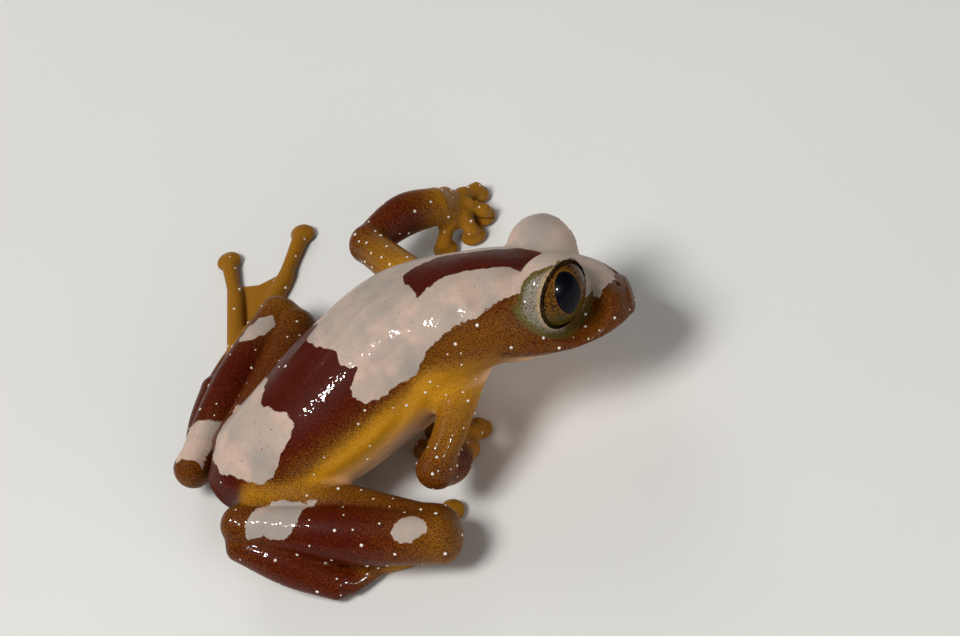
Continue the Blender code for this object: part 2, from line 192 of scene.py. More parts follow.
class Tube:
    """A tapering tube of flesh through a row of cross-sections, with rounded ends."""

    def __init__(
        self, sections: list[Section], cap: float = 0.75, samples: int = 96, turn: float = 0.0
    ) -> None:
        """Samples the smooth centre line.

        Args:
            sections: The cross-sections in order.
            cap: How far the rounded ends reach, in mean radii.
            samples: How many places along the line are kept.
            turn: The length over which a bend in the line turns the cross-sections.
        """
        rows = np.array([(*s.centre, s.wide, s.top, s.bottom, *s.up, s.square) for s in sections])
        rows = evenly_spaced(catmull(rows, samples * 4), samples)
        path = rows[:, :3]
        step = np.linalg.norm(np.diff(path, axis=0), axis=1)
        tangent = softened(np.gradient(path, axis=0), int(turn / step.mean()))
        tangent /= np.linalg.norm(tangent, axis=1, keepdims=True)
        side = np.cross(rows[:, 6:9], tangent)
        side /= np.linalg.norm(side, axis=1, keepdims=True)
        up = np.cross(tangent, side)
        table = [path, tangent, side, up, rows[:, 3:6], rows[:, 9:10]]
        self.table = np.hstack(table).astype(np.float32)
        self.length = float(step.sum())
        self.cap = cap
        reach = rows[:, 3:6].max() + 0.2
        self.low = path.min(axis=0) - reach
        self.high = path.max(axis=0) + reach

    def _read(self, t: np.ndarray, columns: slice) -> np.ndarray:
        """The sampled values at these parameters from 0 to 1.

        Args:
            t: The parameters.
            columns: Which of the sampled values are wanted.

        Returns:
            One row for each parameter.
        """
        place = t * (len(self.table) - 1)
        first = np.minimum(place.astype(np.int32), len(self.table) - 2)
        part = (place - first)[:, None]
        rows = self.table[:, columns]
        return rows[first] * (1 - part) + rows[first + 1] * part

    def _nearest(self, points: np.ndarray) -> np.ndarray:
        """The parameter of the place on the centre line abreast of each point.

        Args:
            points: One row for each point.

        Returns:
            One parameter from 0 to 1 for each point.
        """
        start, end = self.table[0, :3], self.table[-1, :3]
        chord = end - start
        t = np.clip((points - start) @ chord / (chord @ chord), 0, 1)
        for _ in range(6):
            row = self._read(t, slice(0, 6))
            ahead = np.einsum("ij,ij->i", points - row[:, :3], row[:, 3:6])
            t = np.clip(t + ahead / self.length, 0, 1)
        return t.astype(np.float32)

    def chart(self, points: np.ndarray) -> Chart:
        """Finds where points lie on the tube.

        Args:
            points: One row for each point.

        Returns:
            Their place along and round the tube, left of its top counted positive.
        """
        points = points.astype(np.float32)
        t = self._nearest(points)
        row = self._read(t, slice(0, 16))
        offset = points - row[:, :3]
        along, across, above = (
            np.einsum("ij,ij->i", offset, row[:, k : k + 3]) for k in (3, 6, 9)
        )
        wide, square = row[:, 12], row[:, 15]
        high = np.where(above > 0, row[:, 13], row[:, 14])
        reach = self.cap * row[:, 12:15].mean(axis=1)
        radial = np.abs(across / wide) ** square + np.abs(above / high) ** square
        share = np.sqrt(radial ** (2 / square) + (along / reach) ** 2)
        size = np.linalg.norm(offset, axis=1)
        angle = np.arctan2(across, above)
        half_girth = (wide + row[:, 13:15].mean(axis=1)) / 2
        distance = size - size / np.maximum(share, SMALL)
        return Chart(t * self.length + along, angle * half_girth, angle, distance)

    def distance(self, points: np.ndarray) -> np.ndarray:
        """How far points are outside the tube."""
        return self.chart(points).distance


class Round:
    """A form that reaches no further than `reach` from its centre."""

    @property
    def low(self) -> np.ndarray:
        """The lowest corner of its bounds."""
        return np.array(self.centre) - self.reach

    @property
    def high(self) -> np.ndarray:
        """The highest corner of its bounds."""
        return np.array(self.centre) + self.reach


@dataclass(frozen=True)
class Ball(Round):
    """A ball, or an egg shape with its half sizes along turned axes."""

    centre: tuple[float, float, float] | np.ndarray
    size: tuple[float, float, float]
    forward: tuple[float, float, float] = (1.0, 0.0, 0.0)

    @property
    def reach(self) -> float:
        """How far it reaches from its centre."""
        return max(self.size)

    def distance(self, points: np.ndarray) -> np.ndarray:
        """How far points are outside the ball.

        Args:
            points: One row for each point.

        Returns:
            Their distances, negative inside.
        """
        forward = unit(self.forward)
        side = unit(np.cross((0.0, 0.0, 1.0), forward))
        axes = np.array([forward, side, np.cross(forward, side)])
        local = (points - np.array(self.centre)) @ axes.T
        share = np.linalg.norm(local / np.array(self.size), axis=1)
        size = np.linalg.norm(local, axis=1)
        return size - size / np.maximum(share, SMALL)


@dataclass(frozen=True)
class Plate:
    """The web of skin between two toes: a thin sheet inside a convex outline on the floor."""

    outline: tuple[tuple[float, float], ...]
    middle: float
    half: float

    @property
    def low(self) -> np.ndarray:
        """The lowest corner of its bounds."""
        return np.array([*np.min(self.outline, axis=0), self.middle - self.half])

    @property
    def high(self) -> np.ndarray:
        """The highest corner of its bounds."""
        return np.array([*np.max(self.outline, axis=0), self.middle + self.half])

    def distance(self, points: np.ndarray) -> np.ndarray:
        """How far points are outside the sheet."""
        flat = -inside_outline(points[:, :2], np.array(self.outline))
        return np.maximum(flat, np.abs(points[:, 2] - self.middle) - self.half)


def inside_outline(points: np.ndarray, outline: np.ndarray) -> np.ndarray:
    """Signed distances to a closed outline.

    Args:
        points: One row of two coordinates for each point.
        outline: The outline's corners in order.

    Returns:
        The distance to the outline, positive inside and negative outside.
    """
    nearest = np.full(len(points), 1e9)
    inside = np.zeros(len(points), bool)
    for start, end in zip(outline, np.roll(outline, -1, axis=0)):
        edge = end - start
        offset = points - start
        t = np.clip(offset @ edge / (edge @ edge), 0, 1)
        nearest = np.minimum(nearest, np.linalg.norm(offset - t[:, None] * edge, axis=1))
        rises = (start[1] <= points[:, 1]) != (end[1] <= points[:, 1])
        height = edge[1] if edge[1] else 1e-9
        inside ^= rises & (points[:, 0] < start[0] + (points[:, 1] - start[1]) * edge[0] / height)
    return np.where(inside, nearest, -nearest)


Form = Tube | Round | Plate


class Clay:
    """A block of space on a fine grid. Each grid point holds its distance to the skin."""

    # How thick a slab of the grid is worked on at a time, and how sparse the first, rough look is
    SLAB = 24
    SKIP = 4

    def __init__(self, low: tuple[float, ...], high: tuple[float, ...], step: float) -> None:
        """Fills the block with empty space.

        Args:
            low: The block's lowest corner.
            high: The block's highest corner.
            step: The grid's spacing.
        """
        self.low = np.array(low, np.float32)
        self.step = step
        self.shape = tuple(int(math.ceil((h - l) / step)) + 1 for l, h in zip(low, high))
        self.values = np.full(self.shape, FAR, np.float32)

    def _block(self, low: np.ndarray, high: np.ndarray) -> tuple[slice, ...]:
        """The part of the grid between two corners.

        Args:
            low: The lowest corner.
            high: The highest corner.

        Returns:
            The grid's range along each axis.
        """
        first = np.maximum(np.floor((low - self.low) / self.step).astype(int), 0)
        last = np.minimum(np.ceil((high - self.low) / self.step).astype(int) + 1, self.shape)
        return tuple(slice(a, b) for a, b in zip(first, last))

    def _points(self, block: tuple[slice, ...]) -> np.ndarray:
        """The grid points of a block, one row each.

        Args:
            block: The grid's range along each axis.

        Returns:
            Their places in millimetres.
        """
        axes = [
            (np.arange(part.start, part.stop) * self.step + low).astype(np.float32)
            for part, low in zip(block, self.low)
        ]
        return np.stack(np.meshgrid(*axes, indexing="ij"), axis=-1).reshape(-1, 3)

    def _apply(
        self,
        form: Form,
        margin: float,
        mix: Callable[[np.ndarray, np.ndarray], np.ndarray],
    ) -> None:
        """Changes the values near a form, a slab of the grid at a time to spare memory.

        Args:
            form: The form.
            margin: How far from it values change.
            mix: Works out the new values from the old ones and the distances to the form.
        """
        x, y, z = self._block(form.low - margin, form.high + margin)
        for start in range(x.start, x.stop, self.SLAB):
            slab = (slice(start, min(start + self.SLAB, x.stop)), y, z)
            part = self.values[slab]
            self.values[slab] = mix(part, self._distances(form, slab, part.shape))

    def _distances(
        self, form: Form, slab: tuple[slice, ...], shape: tuple[int, ...]
    ) -> np.ndarray:
        """Distances to a form, worked out fully only near its surface.

        Args:
            form: The form.
            slab: The part of the grid that is wanted.
            shape: How many grid points it has along each axis.

        Returns:
            The distance at each of its grid points.
        """
        points = self._points(slab).reshape(*shape, 3)
        sparse = points[:: self.SKIP, :: self.SKIP, :: self.SKIP]
        rough = form.distance(sparse.reshape(-1, 3)).reshape(sparse.shape[:3])
        for axis in range(3):
            rough = rough.repeat(self.SKIP, axis=axis)
        found = rough[: shape[0], : shape[1], : shape[2]].astype(np.float32)
        near = np.abs(found) < 0.7 + 6 * self.step
        found[near] = form.distance(points[near])
        return found

    def add(self, form: Form, fillet: float = 0.2) -> None:
        """Joins a form on, with a fillet."""
        self._apply(form, 0.8, lambda part, found: soft_min(part, found, fillet))

    def cut(self, form: Form, fillet: float = 0.05) -> None:
        """Cuts a form away, with a rounded edge."""
        self._apply(form, 0.4, lambda part, found: -soft_min(-part, found, fillet))

    def rest_on_floor(self, height: float) -> None:
        """Cuts everything off flat at this height above the floor."""
        level = np.arange(self.shape[2]) * self.step + self.low[2]
        self.values = np.maximum(self.values, (height - level)[None, None, :].astype(np.float32))

    def sample(self, points: np.ndarray) -> np.ndarray:
        """The distance at any points inside the block, read between the grid points.

        Args:
            points: One row for each point.

        Returns:
            One distance for each point.
        """
        place = (points - self.low) / self.step
        first = np.clip(np.floor(place).astype(int), 0, np.array(self.shape) - 2)
        part = place - first
        found = np.zeros(len(points))
        for corner in np.ndindex(2, 2, 2):
            weight = np.prod(np.where(corner, part, 1 - part), axis=1)
            found += weight * self.values[tuple((first + corner).T)]
        return found

    def surface(self) -> tuple[np.ndarray, np.ndarray]:
        """Draws the skin where the distance is zero, one point in each cell that it crosses.

        Returns:
            The points, and the four-sided faces between them, wound to face outwards.
        """
        inside = self.values < 0
        count = np.zeros(tuple(n - 1 for n in self.shape), np.uint8)
        for dx, dy, dz in np.ndindex(2, 2, 2):
            x, y, z = (slice(d, n - 1 + d) for d, n in zip((dx, dy, dz), self.shape))
            count += inside[x, y, z]
        active = (count > 0) & (count < 8)
        cells = np.argwhere(active)
        number = np.full(active.shape, -1, np.int32)
        number[active] = np.arange(len(cells))

        total = np.zeros((len(cells), 3))
        hits = np.zeros((len(cells), 1))
        for corner in np.ndindex(2, 2, 2):
            for axis in range(3):
                if corner[axis]:
                    continue
                far = tuple(c + (k == axis) for k, c in enumerate(corner))
                a = self.values[tuple((cells + corner).T)]
                b = self.values[tuple((cells + far).T)]
                crossed = (a < 0) != (b < 0)
                share = np.where(crossed, a / np.where(crossed, a - b, 1), 0)
                place = np.array(corner, float) + share[:, None] * np.eye(3)[axis]
                total += np.where(crossed[:, None], place, 0)
                hits += crossed[:, None]
        points = self.low + (cells + total / hits) * self.step

        faces = []
        for axis in range(3):
            near = [slice(1, -1)] * 3
            near[axis] = slice(0, -1)
            far = list(near)
            far[axis] = slice(1, None)
            starts, ends = inside[tuple(near)], inside[tuple(far)]
            edges = np.argwhere(starts != ends)
            leaves = starts[tuple(edges.T)]
            edges += [0 if k == axis else 1 for k in range(3)]
            u, v = np.eye(3, dtype=int)[(axis + 1) % 3], np.eye(3, dtype=int)[(axis + 2) % 3]
            quad = np.stack(
                [number[tuple((edges - shift).T)] for shift in (u * 0, u, u + v, v)], axis=1
            )
            faces.append(np.where(leaves[:, None], quad, quad[:, ::-1]))
        return points, np.concatenate(faces)


@dataclass(frozen=True)
class Spine:
    """The trunk and head, as one tube from the vent to the snout."""

    lean: tuple[float, ...] = (8, 8, 9, 11, 13, 17)

    def sections(self) -> list[Section]:
        """The trunk's cross-sections, each leaning a little to the left, then the head's.

        Returns:
            The cross-sections from the vent to the snout.
        """
        trunk = (
            ((0.6, -0.2, 3.2), 1.6, 1.4, 1.3),
            ((1.9, -0.2, 3.7), 2.7, 2.2, 2.1),
            ((4.0, -0.1, 4.3), 3.7, 3.0, 3.1),
            ((7.3, -0.1, 4.9), 4.9, 3.8, 4.0),
            ((10.9, 0.3, 5.7), 5.3, 4.3, 4.3),
            ((15.4, 0.55, 6.6), 5.4, 4.7, 4.3),
        )
        head = (
            (-4.6, -1.9, 4.95, 1.7, -4.9, 2.1),
            (-2.2, -2.4, 4.9, 1.35, -4.65, 2.2),
            (0.2, -2.6, 4.75, 0.9, -4.4, 2.3),
            (2.2, -2.65, 3.9, 0.0, -4.15, 2.4),
            (3.6, -2.65, 2.8, -1.1, -3.85, 2.5),
            (4.25, -2.65, 1.95, -1.7, -3.6, 2.5),
        )
        made = []
        for (centre, wide, top, bottom), degrees in zip(trunk, self.lean):
            angle = math.radians(degrees)
            made.append(Section(centre, wide, top, bottom, (0.0, math.sin(angle), math.cos(angle))))
        up = tuple(HEAD.axes()[2])
        for forward, middle, wide, top, bottom, square in head:
            centre = tuple(HEAD.outward((forward, 0.0, middle)))
            made.append(Section(centre, wide, top - middle, middle - bottom, up, square))
        return made

    def tube(self) -> Tube:
        """The smooth tube through the cross-sections."""
        return Tube(self.sections(), cap=0.35, samples=240, turn=3.0)


@dataclass(frozen=True)
class Bone:
    """One limb segment: its two ends and middle, with half a width and half a height at each."""

    points: tuple[tuple[float, float, float], ...]
    wide: tuple[float, ...]
    high: tuple[float, ...]

    def tube(self) -> Tube:
        """The smooth tube of flesh round the bone."""
        rows = zip(self.points, self.wide, self.high)
        return Tube([Section(point, wide, high, high) for point, wide, high in rows], samples=48)


# How softly each kind of limb segment flows into the body
FILLETS = {"thigh": 0.7, "upper_arm": 0.9, "forearm": 0.5}
OTHER_FILLET = 0.16

BONES = {
    "thigh_right": Bone(
        ((2.9, -2.4, 3.8), (7.6, -6.9, 2.9), (11.3, -10.2, 2.5)),
        wide=(1.9, 1.65, 1.35),
        high=(2.0, 1.8, 1.45),
    ),
    "shank_right": Bone(
        ((11.3, -11.3, 2.8), (6.0, -7.9, 3.3), (0.6, -3.9, 3.8)),
        wide=(1.5, 1.75, 1.15),
        high=(1.65, 1.9, 1.25),
    ),
    "tarsus_right": Bone(
        ((0.0, -4.5, 2.8), (2.3, -7.2, 2.1), (4.5, -9.2, 0.95)),
        wide=(1.0, 1.3, 1.15),
        high=(1.1, 1.35, 1.0),
    ),
    "thigh_left": Bone(
        ((2.6, 1.9, 3.5), (6.2, 5.8, 2.9), (9.0, 10.0, 2.5)),
        wide=(1.9, 1.7, 1.3),
        high=(2.0, 1.85, 1.4),
    ),
    "shank_left": Bone(
        ((8.6, 11.5, 2.7), (3.75, 7.2, 2.95), (-0.8, 3.1, 2.5)),
        wide=(1.4, 1.55, 1.1),
        high=(1.5, 1.7, 1.2),
    ),
    "tarsus_left": Bone(
        ((-0.4, 4.1, 1.8), (0.9, 7.1, 1.4), (2.6, 9.9, 0.9)),
        wide=(0.85, 0.95, 1.0),
        high=(0.9, 1.0, 0.95),
    ),
    "upper_arm_right": Bone(
        ((17.3, -3.4, 6.6), (14.9, -6.1, 5.6), (12.7, -7.7, 4.5)),
        wide=(1.35, 1.05, 0.98),
        high=(1.35, 1.05, 0.98),
    ),
    "forearm_right": Bone(
        ((12.9, -7.5, 3.9), (13.9, -6.6, 3.0), (14.9, -5.3, 2.1)),
        wide=(0.95, 1.15, 0.8),
        high=(0.95, 1.15, 0.75),
    ),
    "upper_arm_left": Bone(
        ((17.4, 4.4, 6.4), (16.5, 8.4, 5.4), (15.7, 12.0, 4.4)),
        wide=(1.4, 1.25, 1.15),
        high=(1.4, 1.25, 1.15),
    ),
    "forearm_left": Bone(
        ((15.8, 12.4, 4.2), (18.7, 13.6, 3.7), (21.0, 13.8, 2.9)),
        wide=(1.1, 1.45, 1.35),
        high=(1.1, 1.35, 1.15),
    ),
}

# How far the flesh swells at the joint that ends each of these limb segments
JOINTS = {
    "thigh_right": 1.45,
    "shank_right": 1.15,
    "thigh_left": 1.35,
    "shank_left": 1.05,
    "upper_arm_right": 1.0,
    "upper_arm_left": 1.05,
}


@dataclass(frozen=True)
class Paw:
    """A hand or foot: its palm, and a tube and disc for each digit."""

    root: tuple[float, float, float]
    palm: tuple[float, float]
    knuckles: tuple[tuple[float, float], ...]
    tips: tuple[tuple[float, float], ...]
    webbed: bool
    thick: float = 0.56
    disc: tuple[float, float, float] = (0.76, 0.84, 0.44)
    floor: float = 0.38

    def height(self) -> float:
        """How high the knuckles stand: a hand is arched, and a foot lies flat."""
        return self.floor if self.webbed else max(self.floor + 0.04, self.root[2] * 0.62)

    def middle(self) -> tuple[np.ndarray, float]:
        """The middle of the palm on the floor plan, and its height.

        Returns:
            Its place on the plan, and its height.
        """
        centre = np.mean(self.knuckles, axis=0)
        middle = np.array(self.root[:2]) * 0.55 + centre * 0.45
        return middle, self.palm[1] if self.webbed else self.root[2] * 0.75

    def palm_tube(self) -> Tube:
        """The palm or sole.

        Returns:
            The tube from the wrist or ankle to the knuckles.
        """
        wide, high = self.palm
        middle, pad = self.middle()
        centre = np.mean(self.knuckles, axis=0)
        end = np.array(self.root[:2]) * 0.2 + centre * 0.8
        return Tube(
            [
                Section(self.root, wide, high, high),
                Section((*middle, pad), wide * 1.05, high * 0.9, high * 0.9),
                Section((*end, self.height()), wide * 0.9, high * 0.75, high * 0.75),
            ],
            samples=32,
        )

    def digit_tube(self, index: int) -> Tube:
        """One digit from inside the palm to its disc, a little knobbly at the joints.

        Args:
            index: Which digit, counted from the innermost.

        Returns:
            The digit's tube.
        """
        middle, pad = self.middle()
        height = self.height()
        knuckle = np.array([*self.knuckles[index], height])
        tip = np.array([*self.tips[index], self.floor])
        disc = tip - unit(tip - knuckle) * self.disc[0]
        start = np.array([*middle, pad]) * 0.8 + knuckle * 0.2
        places = (start, knuckle, knuckle * 0.65 + disc * 0.35, knuckle * 0.25 + disc * 0.75, disc)
        thick = self.thick
        sizes = (thick * 1.15, thick * 1.08, thick * 0.86, thick * 0.95, thick)
        return Tube(
            [Section(tuple(p), size, size * 0.98, size * 0.98) for p, size in zip(places, sizes)],
            samples=48,
        )

    def disc_ball(self, index: int) -> Ball:
        """The flat round disc at a digit's tip.

        Args:
            index: Which digit, counted from the innermost.

        Returns:
            The disc, reaching forwards to the tip.
        """
        knuckle = np.array([*self.knuckles[index], self.floor])
        tip = np.array([*self.tips[index], self.floor])
        forward = unit(tip - knuckle)
        return Ball(tip - forward * self.disc[0], self.disc, tuple(forward))

    def web(self, index: int) -> Plate:
        """The sheet of skin between one toe and the next.

        Args:
            index: The first of the two toes.

        Returns:
            The sheet, with its free edge drawn back between them.
        """
        root = np.array(self.root[:2])
        toes = np.array(self.knuckles) * 0.72 + np.array(self.tips) * 0.28
        near, far = toes[index], toes[index + 1]
        hollow = root + ((near + far) / 2 - root) * 0.94
        return Plate((tuple(root), tuple(near), tuple(hollow), tuple(far)), 0.2, 0.11)


PAWS = {
    "foot_left": Paw(
        root=(2.8, 10.1, 0.8),
        palm=(0.95, 0.7),
        knuckles=((5.0, 10.7), (6.3, 11.6), (7.7, 13.0), (9.5, 16.2), (6.3, 16.9)),
        tips=((6.6, 10.2), (8.2, 11.1), (9.9, 13.3), (12.78, 20.2), (7.17, 21.16)),
        webbed=True,
    ),
    "foot_right": Paw(
        root=(5.0, -9.3, 0.85),
        palm=(1.0, 0.7),
        knuckles=((6.4, -7.9), (7.6, -7.9), (8.9, -8.1), (10.3, -8.4), (8.9, -9.5)),
        tips=((7.2, -6.0), (9.0, -6.0), (10.9, -6.4), (13.4, -7.5), (11.7, -10.3)),
        webbed=True,
    ),
    "hand_left": Paw(
        root=(21.4, 14.1, 2.3),
        palm=(1.5, 1.0),
        knuckles=((21.0, 13.1), (22.3, 13.0), (23.0, 13.8), (22.9, 15.0)),
        tips=((19.7, 11.8), (22.3, 11.5), (24.2, 13.0), (24.6, 15.8)),
        webbed=False,
    ),
    "hand_right": Paw(
        root=(15.0, -5.1, 1.7),
        palm=(1.05, 0.75),
        knuckles=((13.6, -3.2), (14.4, -2.6), (15.4, -2.6), (16.1, -3.5)),
        tips=((12.5, -1.7), (14.0, -0.6), (15.8, -0.6), (17.0, -2.3)),
        webbed=False,
    ),
}


@dataclass(frozen=True)
class EyeOpening(Round):
    """The round opening in the skin through which one eye shows."""

    side: Side
    offset: float = 3.0
    back: float = -0.22
    ball: float = 2.2
    flat: float = 0.88
    clearance: float = 0.02
    throat: float = 2.06
    rim_height: float = 0.65
    skin: float = 0.16
    axis: tuple[float, float, float] = (0.703, 0.703, -0.105)

    @property
    def centre(self) -> np.ndarray:
        """The middle of the eyeball."""
        return HEAD.outward((self.back, self.offset * self.side.value, 0.0))

    @property
    def direction(self) -> np.ndarray:
        """The way that the opening faces."""
        forward, left, up = self.axis
        return unit(np.array((forward, left * self.side.value, up)) @ HEAD.axes())

    @property
    def reach(self) -> float:
        """How far it reaches from its centre, with room to spare."""
        return self.ball * 1.25

    def height(self, points: np.ndarray) -> np.ndarray:
        """How far points are along the eye's axis from the middle of the ball."""
        return (points - self.centre) @ self.direction

    def radius(self, points: np.ndarray) -> np.ndarray:
        """How far points are from the eye's axis.

        Args:
            points: One row for each point.

        Returns:
            Their distances.
        """
        offset = points - self.centre
        along = np.outer(offset @ self.direction, self.direction)
        return np.linalg.norm(offset - along, axis=1)

    def distance(self, points: np.ndarray) -> np.ndarray:
        """How far points are outside the part of the ball that shows.

        Args:
            points: One row for each point.

        Returns:
            Their distances, negative inside.
        """
        radius, height = self.radius(points), self.height(points)
        share = np.hypot(radius, height / self.flat) / self.ball
        size = np.hypot(radius, height)
        ball = size - size / np.maximum(share, SMALL) - self.clearance
        throat = np.maximum(radius - self.throat, ball - 0.3)
        return np.maximum(np.minimum(ball, throat), self.rim_height - self.height(points))


@dataclass(frozen=True)
class Ring(Round):
    """A ring of thicker skin round an eye."""

    eye: EyeOpening
    major: float
    minor: float
    height: float

    @property
    def centre(self) -> np.ndarray:
        """The middle of the eyeball."""
        return self.eye.centre

    @property
    def reach(self) -> float:
        """How far it reaches from its centre."""
        return self.major + self.minor

    def distance(self, points: np.ndarray) -> np.ndarray:
        """How far points are outside the ring."""
        out = self.eye.radius(points) - self.major
        return np.hypot(out, self.eye.height(points) - self.height) - self.minor


class Flesh:
    """The whole body, sculpted as one solid and drawn as one skin."""

    # The corners of the block of space that the body is sculpted in
    LOW = (-3.0, -14.5, -0.3)
    HIGH = (31.0, 22.5, 14.2)
    # How far up the soles, palms and belly are cut off flat
    SOLE = 0.02
    # The hollow that parts an eye's swelling from the head
    HOLLOW_SIZE = 2.75
    HOLLOW_OUT = 1.3
    NOSTRIL_SIZE = (0.2, 0.16, 0.16)

    def __init__(self, step: float) -> None:
        """Keeps the tubes, which also say where the markings go.

        Args:
            step: The spacing of the grid that the body is sculpted on.
        """
        self.spine = Spine().tube()
        self.bones = {name: bone.tube() for name, bone in BONES.items()}
        self.eyes = {side: EyeOpening(side) for side in Side}
        self.clay = Clay(self.LOW, self.HIGH, step)

    def sculpt(self) -> None:
        """Joins every form, cuts the eye openings and nostrils, and flattens the soles."""
        clay = self.clay
        clay.add(self.spine, fillet=0.01)
        self._head()
        for name, tube in self.bones.items():
            clay.add(tube, FILLETS.get(name.rsplit("_", 1)[0], OTHER_FILLET))
        for name, size in JOINTS.items():
            clay.add(Ball(BONES[name].points[-1], (size,) * 3), fillet=0.6)
        for paw in PAWS.values():
            self._paw(paw)
        clay.rest_on_floor(self.SOLE)

    def _head(self) -> None:
        """The swellings over the eyes, the lids and the openings."""
        for eye in self.eyes.values():
            hollow = eye.centre + eye.direction * (eye.rim_height + self.HOLLOW_OUT)
            self.clay.cut(Ball(hollow, (self.HOLLOW_SIZE,) * 3), fillet=0.7)
        for eye in self.eyes.values():
            size = (eye.ball * eye.flat + eye.skin, *(eye.ball + eye.skin,) * 2)
            self.clay.add(Ball(eye.centre, size, tuple(eye.direction)), fillet=0.5)
            self.clay.add(Ring(eye, eye.throat + 0.1, 0.09, eye.rim_height), fillet=0.12)
        for eye in self.eyes.values():
            self.clay.cut(eye, fillet=0.04)
        for side in Side:
            place = HEAD.outward(tuple(np.array(NOSTRIL) * (1, side.value, 1)))
            self.clay.cut(Ball(place, self.NOSTRIL_SIZE), fillet=0.1)

    def _paw(self, paw: Paw) -> None:
        """One hand or foot.

        Args:
            paw: The hand or foot.
        """
        self.clay.add(paw.palm_tube(), fillet=0.45)
        for index in range(len(paw.tips)):
            self.clay.add(paw.digit_tube(index), fillet=0.22)
            self.clay.add(paw.disc_ball(index), fillet=0.2)
        if paw.webbed:
            for index in range(len(paw.tips) - 1):
                self.clay.add(paw.web(index), fillet=0.14)

    def skin(self) -> tuple[np.ndarray, np.ndarray]:
        """Draws the skin, and settles its points onto the true surface.

        Returns:
            The points in millimetres, and the faces.
        """
        points, faces = self.clay.surface()
        step = self.clay.step * 0.5
        for _ in range(2):
            slope = np.stack(
                [
                    self.clay.sample(points + offset) - self.clay.sample(points - offset)
                    for offset in np.eye(3) * step
                ],
                axis=1,
            ) / (2 * step)
            size = np.maximum((slope**2).sum(axis=1), 0.25)
            out = np.clip(self.clay.sample(points), -step, step) / size
            points = points - slope * out[:, None]
        points[:, 2] = np.maximum(points[:, 2], 0.0)
        return points, faces


@dataclass(frozen=True)
class Patch:
    """A patch of colour with a sharp edge, drawn on one tube's chart in millimetres."""

    tube: str
    outline: tuple[tuple[float, float], ...]

    def inside(self, chart: Chart) -> np.ndarray:
        """How far points are inside the outline, negative outside it."""
        places = np.stack([chart.along, chart.around], axis=1)
        return inside_outline(places, np.array(self.outline))


BACK_PATCHES = (
    Patch(
        "spine",
        (
            (10.3, 1.3), (10.4, -0.2), (11.3, -1.9), (11.0, -2.8), (11.6, -3.9), (10.7, -4.4),
            (10.4, -4.9), (10.7, -5.7), (12.1, -6.3), (14.9, -6.8), (16.6, -7.0), (17.9, -6.4),
            (18.8, -5.7), (20.5, -4.9), (21.1, -4.1), (22.3, -3.7), (24.2, -3.0), (24.2, 3.0),
            (22.4, 3.7), (21.3, 4.1), (20.3, 5.0), (18.6, 5.9), (16.8, 6.9), (14.0, 6.7),
            (11.5, 6.2), (10.6, 5.2), (11.4, 4.3), (10.8, 3.4), (11.2, 2.4),
        ),
    ),
    Patch(
        "spine",
        (
            (5.3, 0.0), (6.1, -1.6), (6.6, -2.7), (6.5, -3.4), (5.9, -3.9), (5.0, -4.0),
            (3.9, -4.4), (3.1, -4.2), (2.2, -3.0), (1.1, -1.1), (0.9, 0.9), (2.0, 2.8),
            (3.3, 4.1), (5.2, 4.0), (6.3, 3.2), (6.4, 2.2), (5.8, 1.0),
        ),
    ),
)
MIDDLE_STRIPE = Patch(
    "spine",
    (
        (17.2, -0.1), (17.9, -1.8), (18.4, -2.9), (18.8, -2.3), (20.0, -1.3), (21.9, -1.6),
        (22.6, -2.4), (24.8, -2.1), (24.7, -0.4), (24.0, 0.7), (22.5, 1.5), (20.9, 1.6),
        (18.8, 1.9), (17.9, 0.7),
    ),
)
LEG_PATCHES = (
    Patch(
        "shank_left",
        (
            (9.3, 1.2), (9.7, 0.4), (9.9, -0.4), (10.4, -1.5), (12.0, -1.7), (12.9, -0.6),
            (12.4, 0.6), (12.7, 1.2),
        ),
    ),
    Patch(
        "shank_left",
        ((3.9, -0.5), (2.8, -0.7), (1.7, -0.2), (1.2, 0.5), (1.7, 1.0), (2.7, 0.8), (3.5, 0.3)),
    ),
    Patch(
        "shank_right",
        (
            (12.2, 0.6), (11.5, -0.9), (9.5, -1.2), (8.1, -1.25), (8.6, -0.5), (8.7, 0.5),
            (9.1, 1.2), (10.0, 1.6), (10.9, 1.35), (12.1, 1.6),
        ),
    ),
    Patch(
        "shank_right",
        (
            (2.7, 0.3), (2.2, -0.3), (1.4, -0.45), (0.6, 0.0), (0.5, 0.5), (1.5, 1.25),
            (2.2, 1.35), (2.8, 0.8),
        ),
    ),
)
# The right half of the pale crown, in the head frame seen from above
CROWN = (
    (-2.6, -3.3), (-2.2, -3.95), (-1.3, -3.75), (-0.4, -3.6), (0.63, -3.5), (1.54, -2.6),
    (2.0, -2.25), (2.4, -2.35), (2.9, -2.1), (3.5, -1.0), (3.8, -0.45), (3.6, 0.4), (-2.6, 0.4),
)
CROWN_FLOOR = -1.35


@dataclass(frozen=True)
class LimbTint:
    """How dark a limb segment is, and how amber, from its start to its end."""

    dark: tuple[float, float, float]
    amber: tuple[float, float, float]


TINTS = {
    "thigh": LimbTint((0.15, 0.3, 0.35), (0.6, 0.3, 0.2)),
    "thigh_left": LimbTint((0.5, 0.5, 0.35), (0.1, 0.15, 0.2)),
    "shank": LimbTint((0.25, 0.95, 0.35), (0.3, 0.0, 0.15)),
    "tarsus": LimbTint((0.5, 0.75, 0.75), (0.1, 0.05, 0.15)),
    "upper_arm": LimbTint((0.0, 0.3, 0.5), (0.75, 0.5, 0.3)),
    "forearm": LimbTint((0.55, 0.65, 0.35), (0.1, 0.1, 0.5)),
}


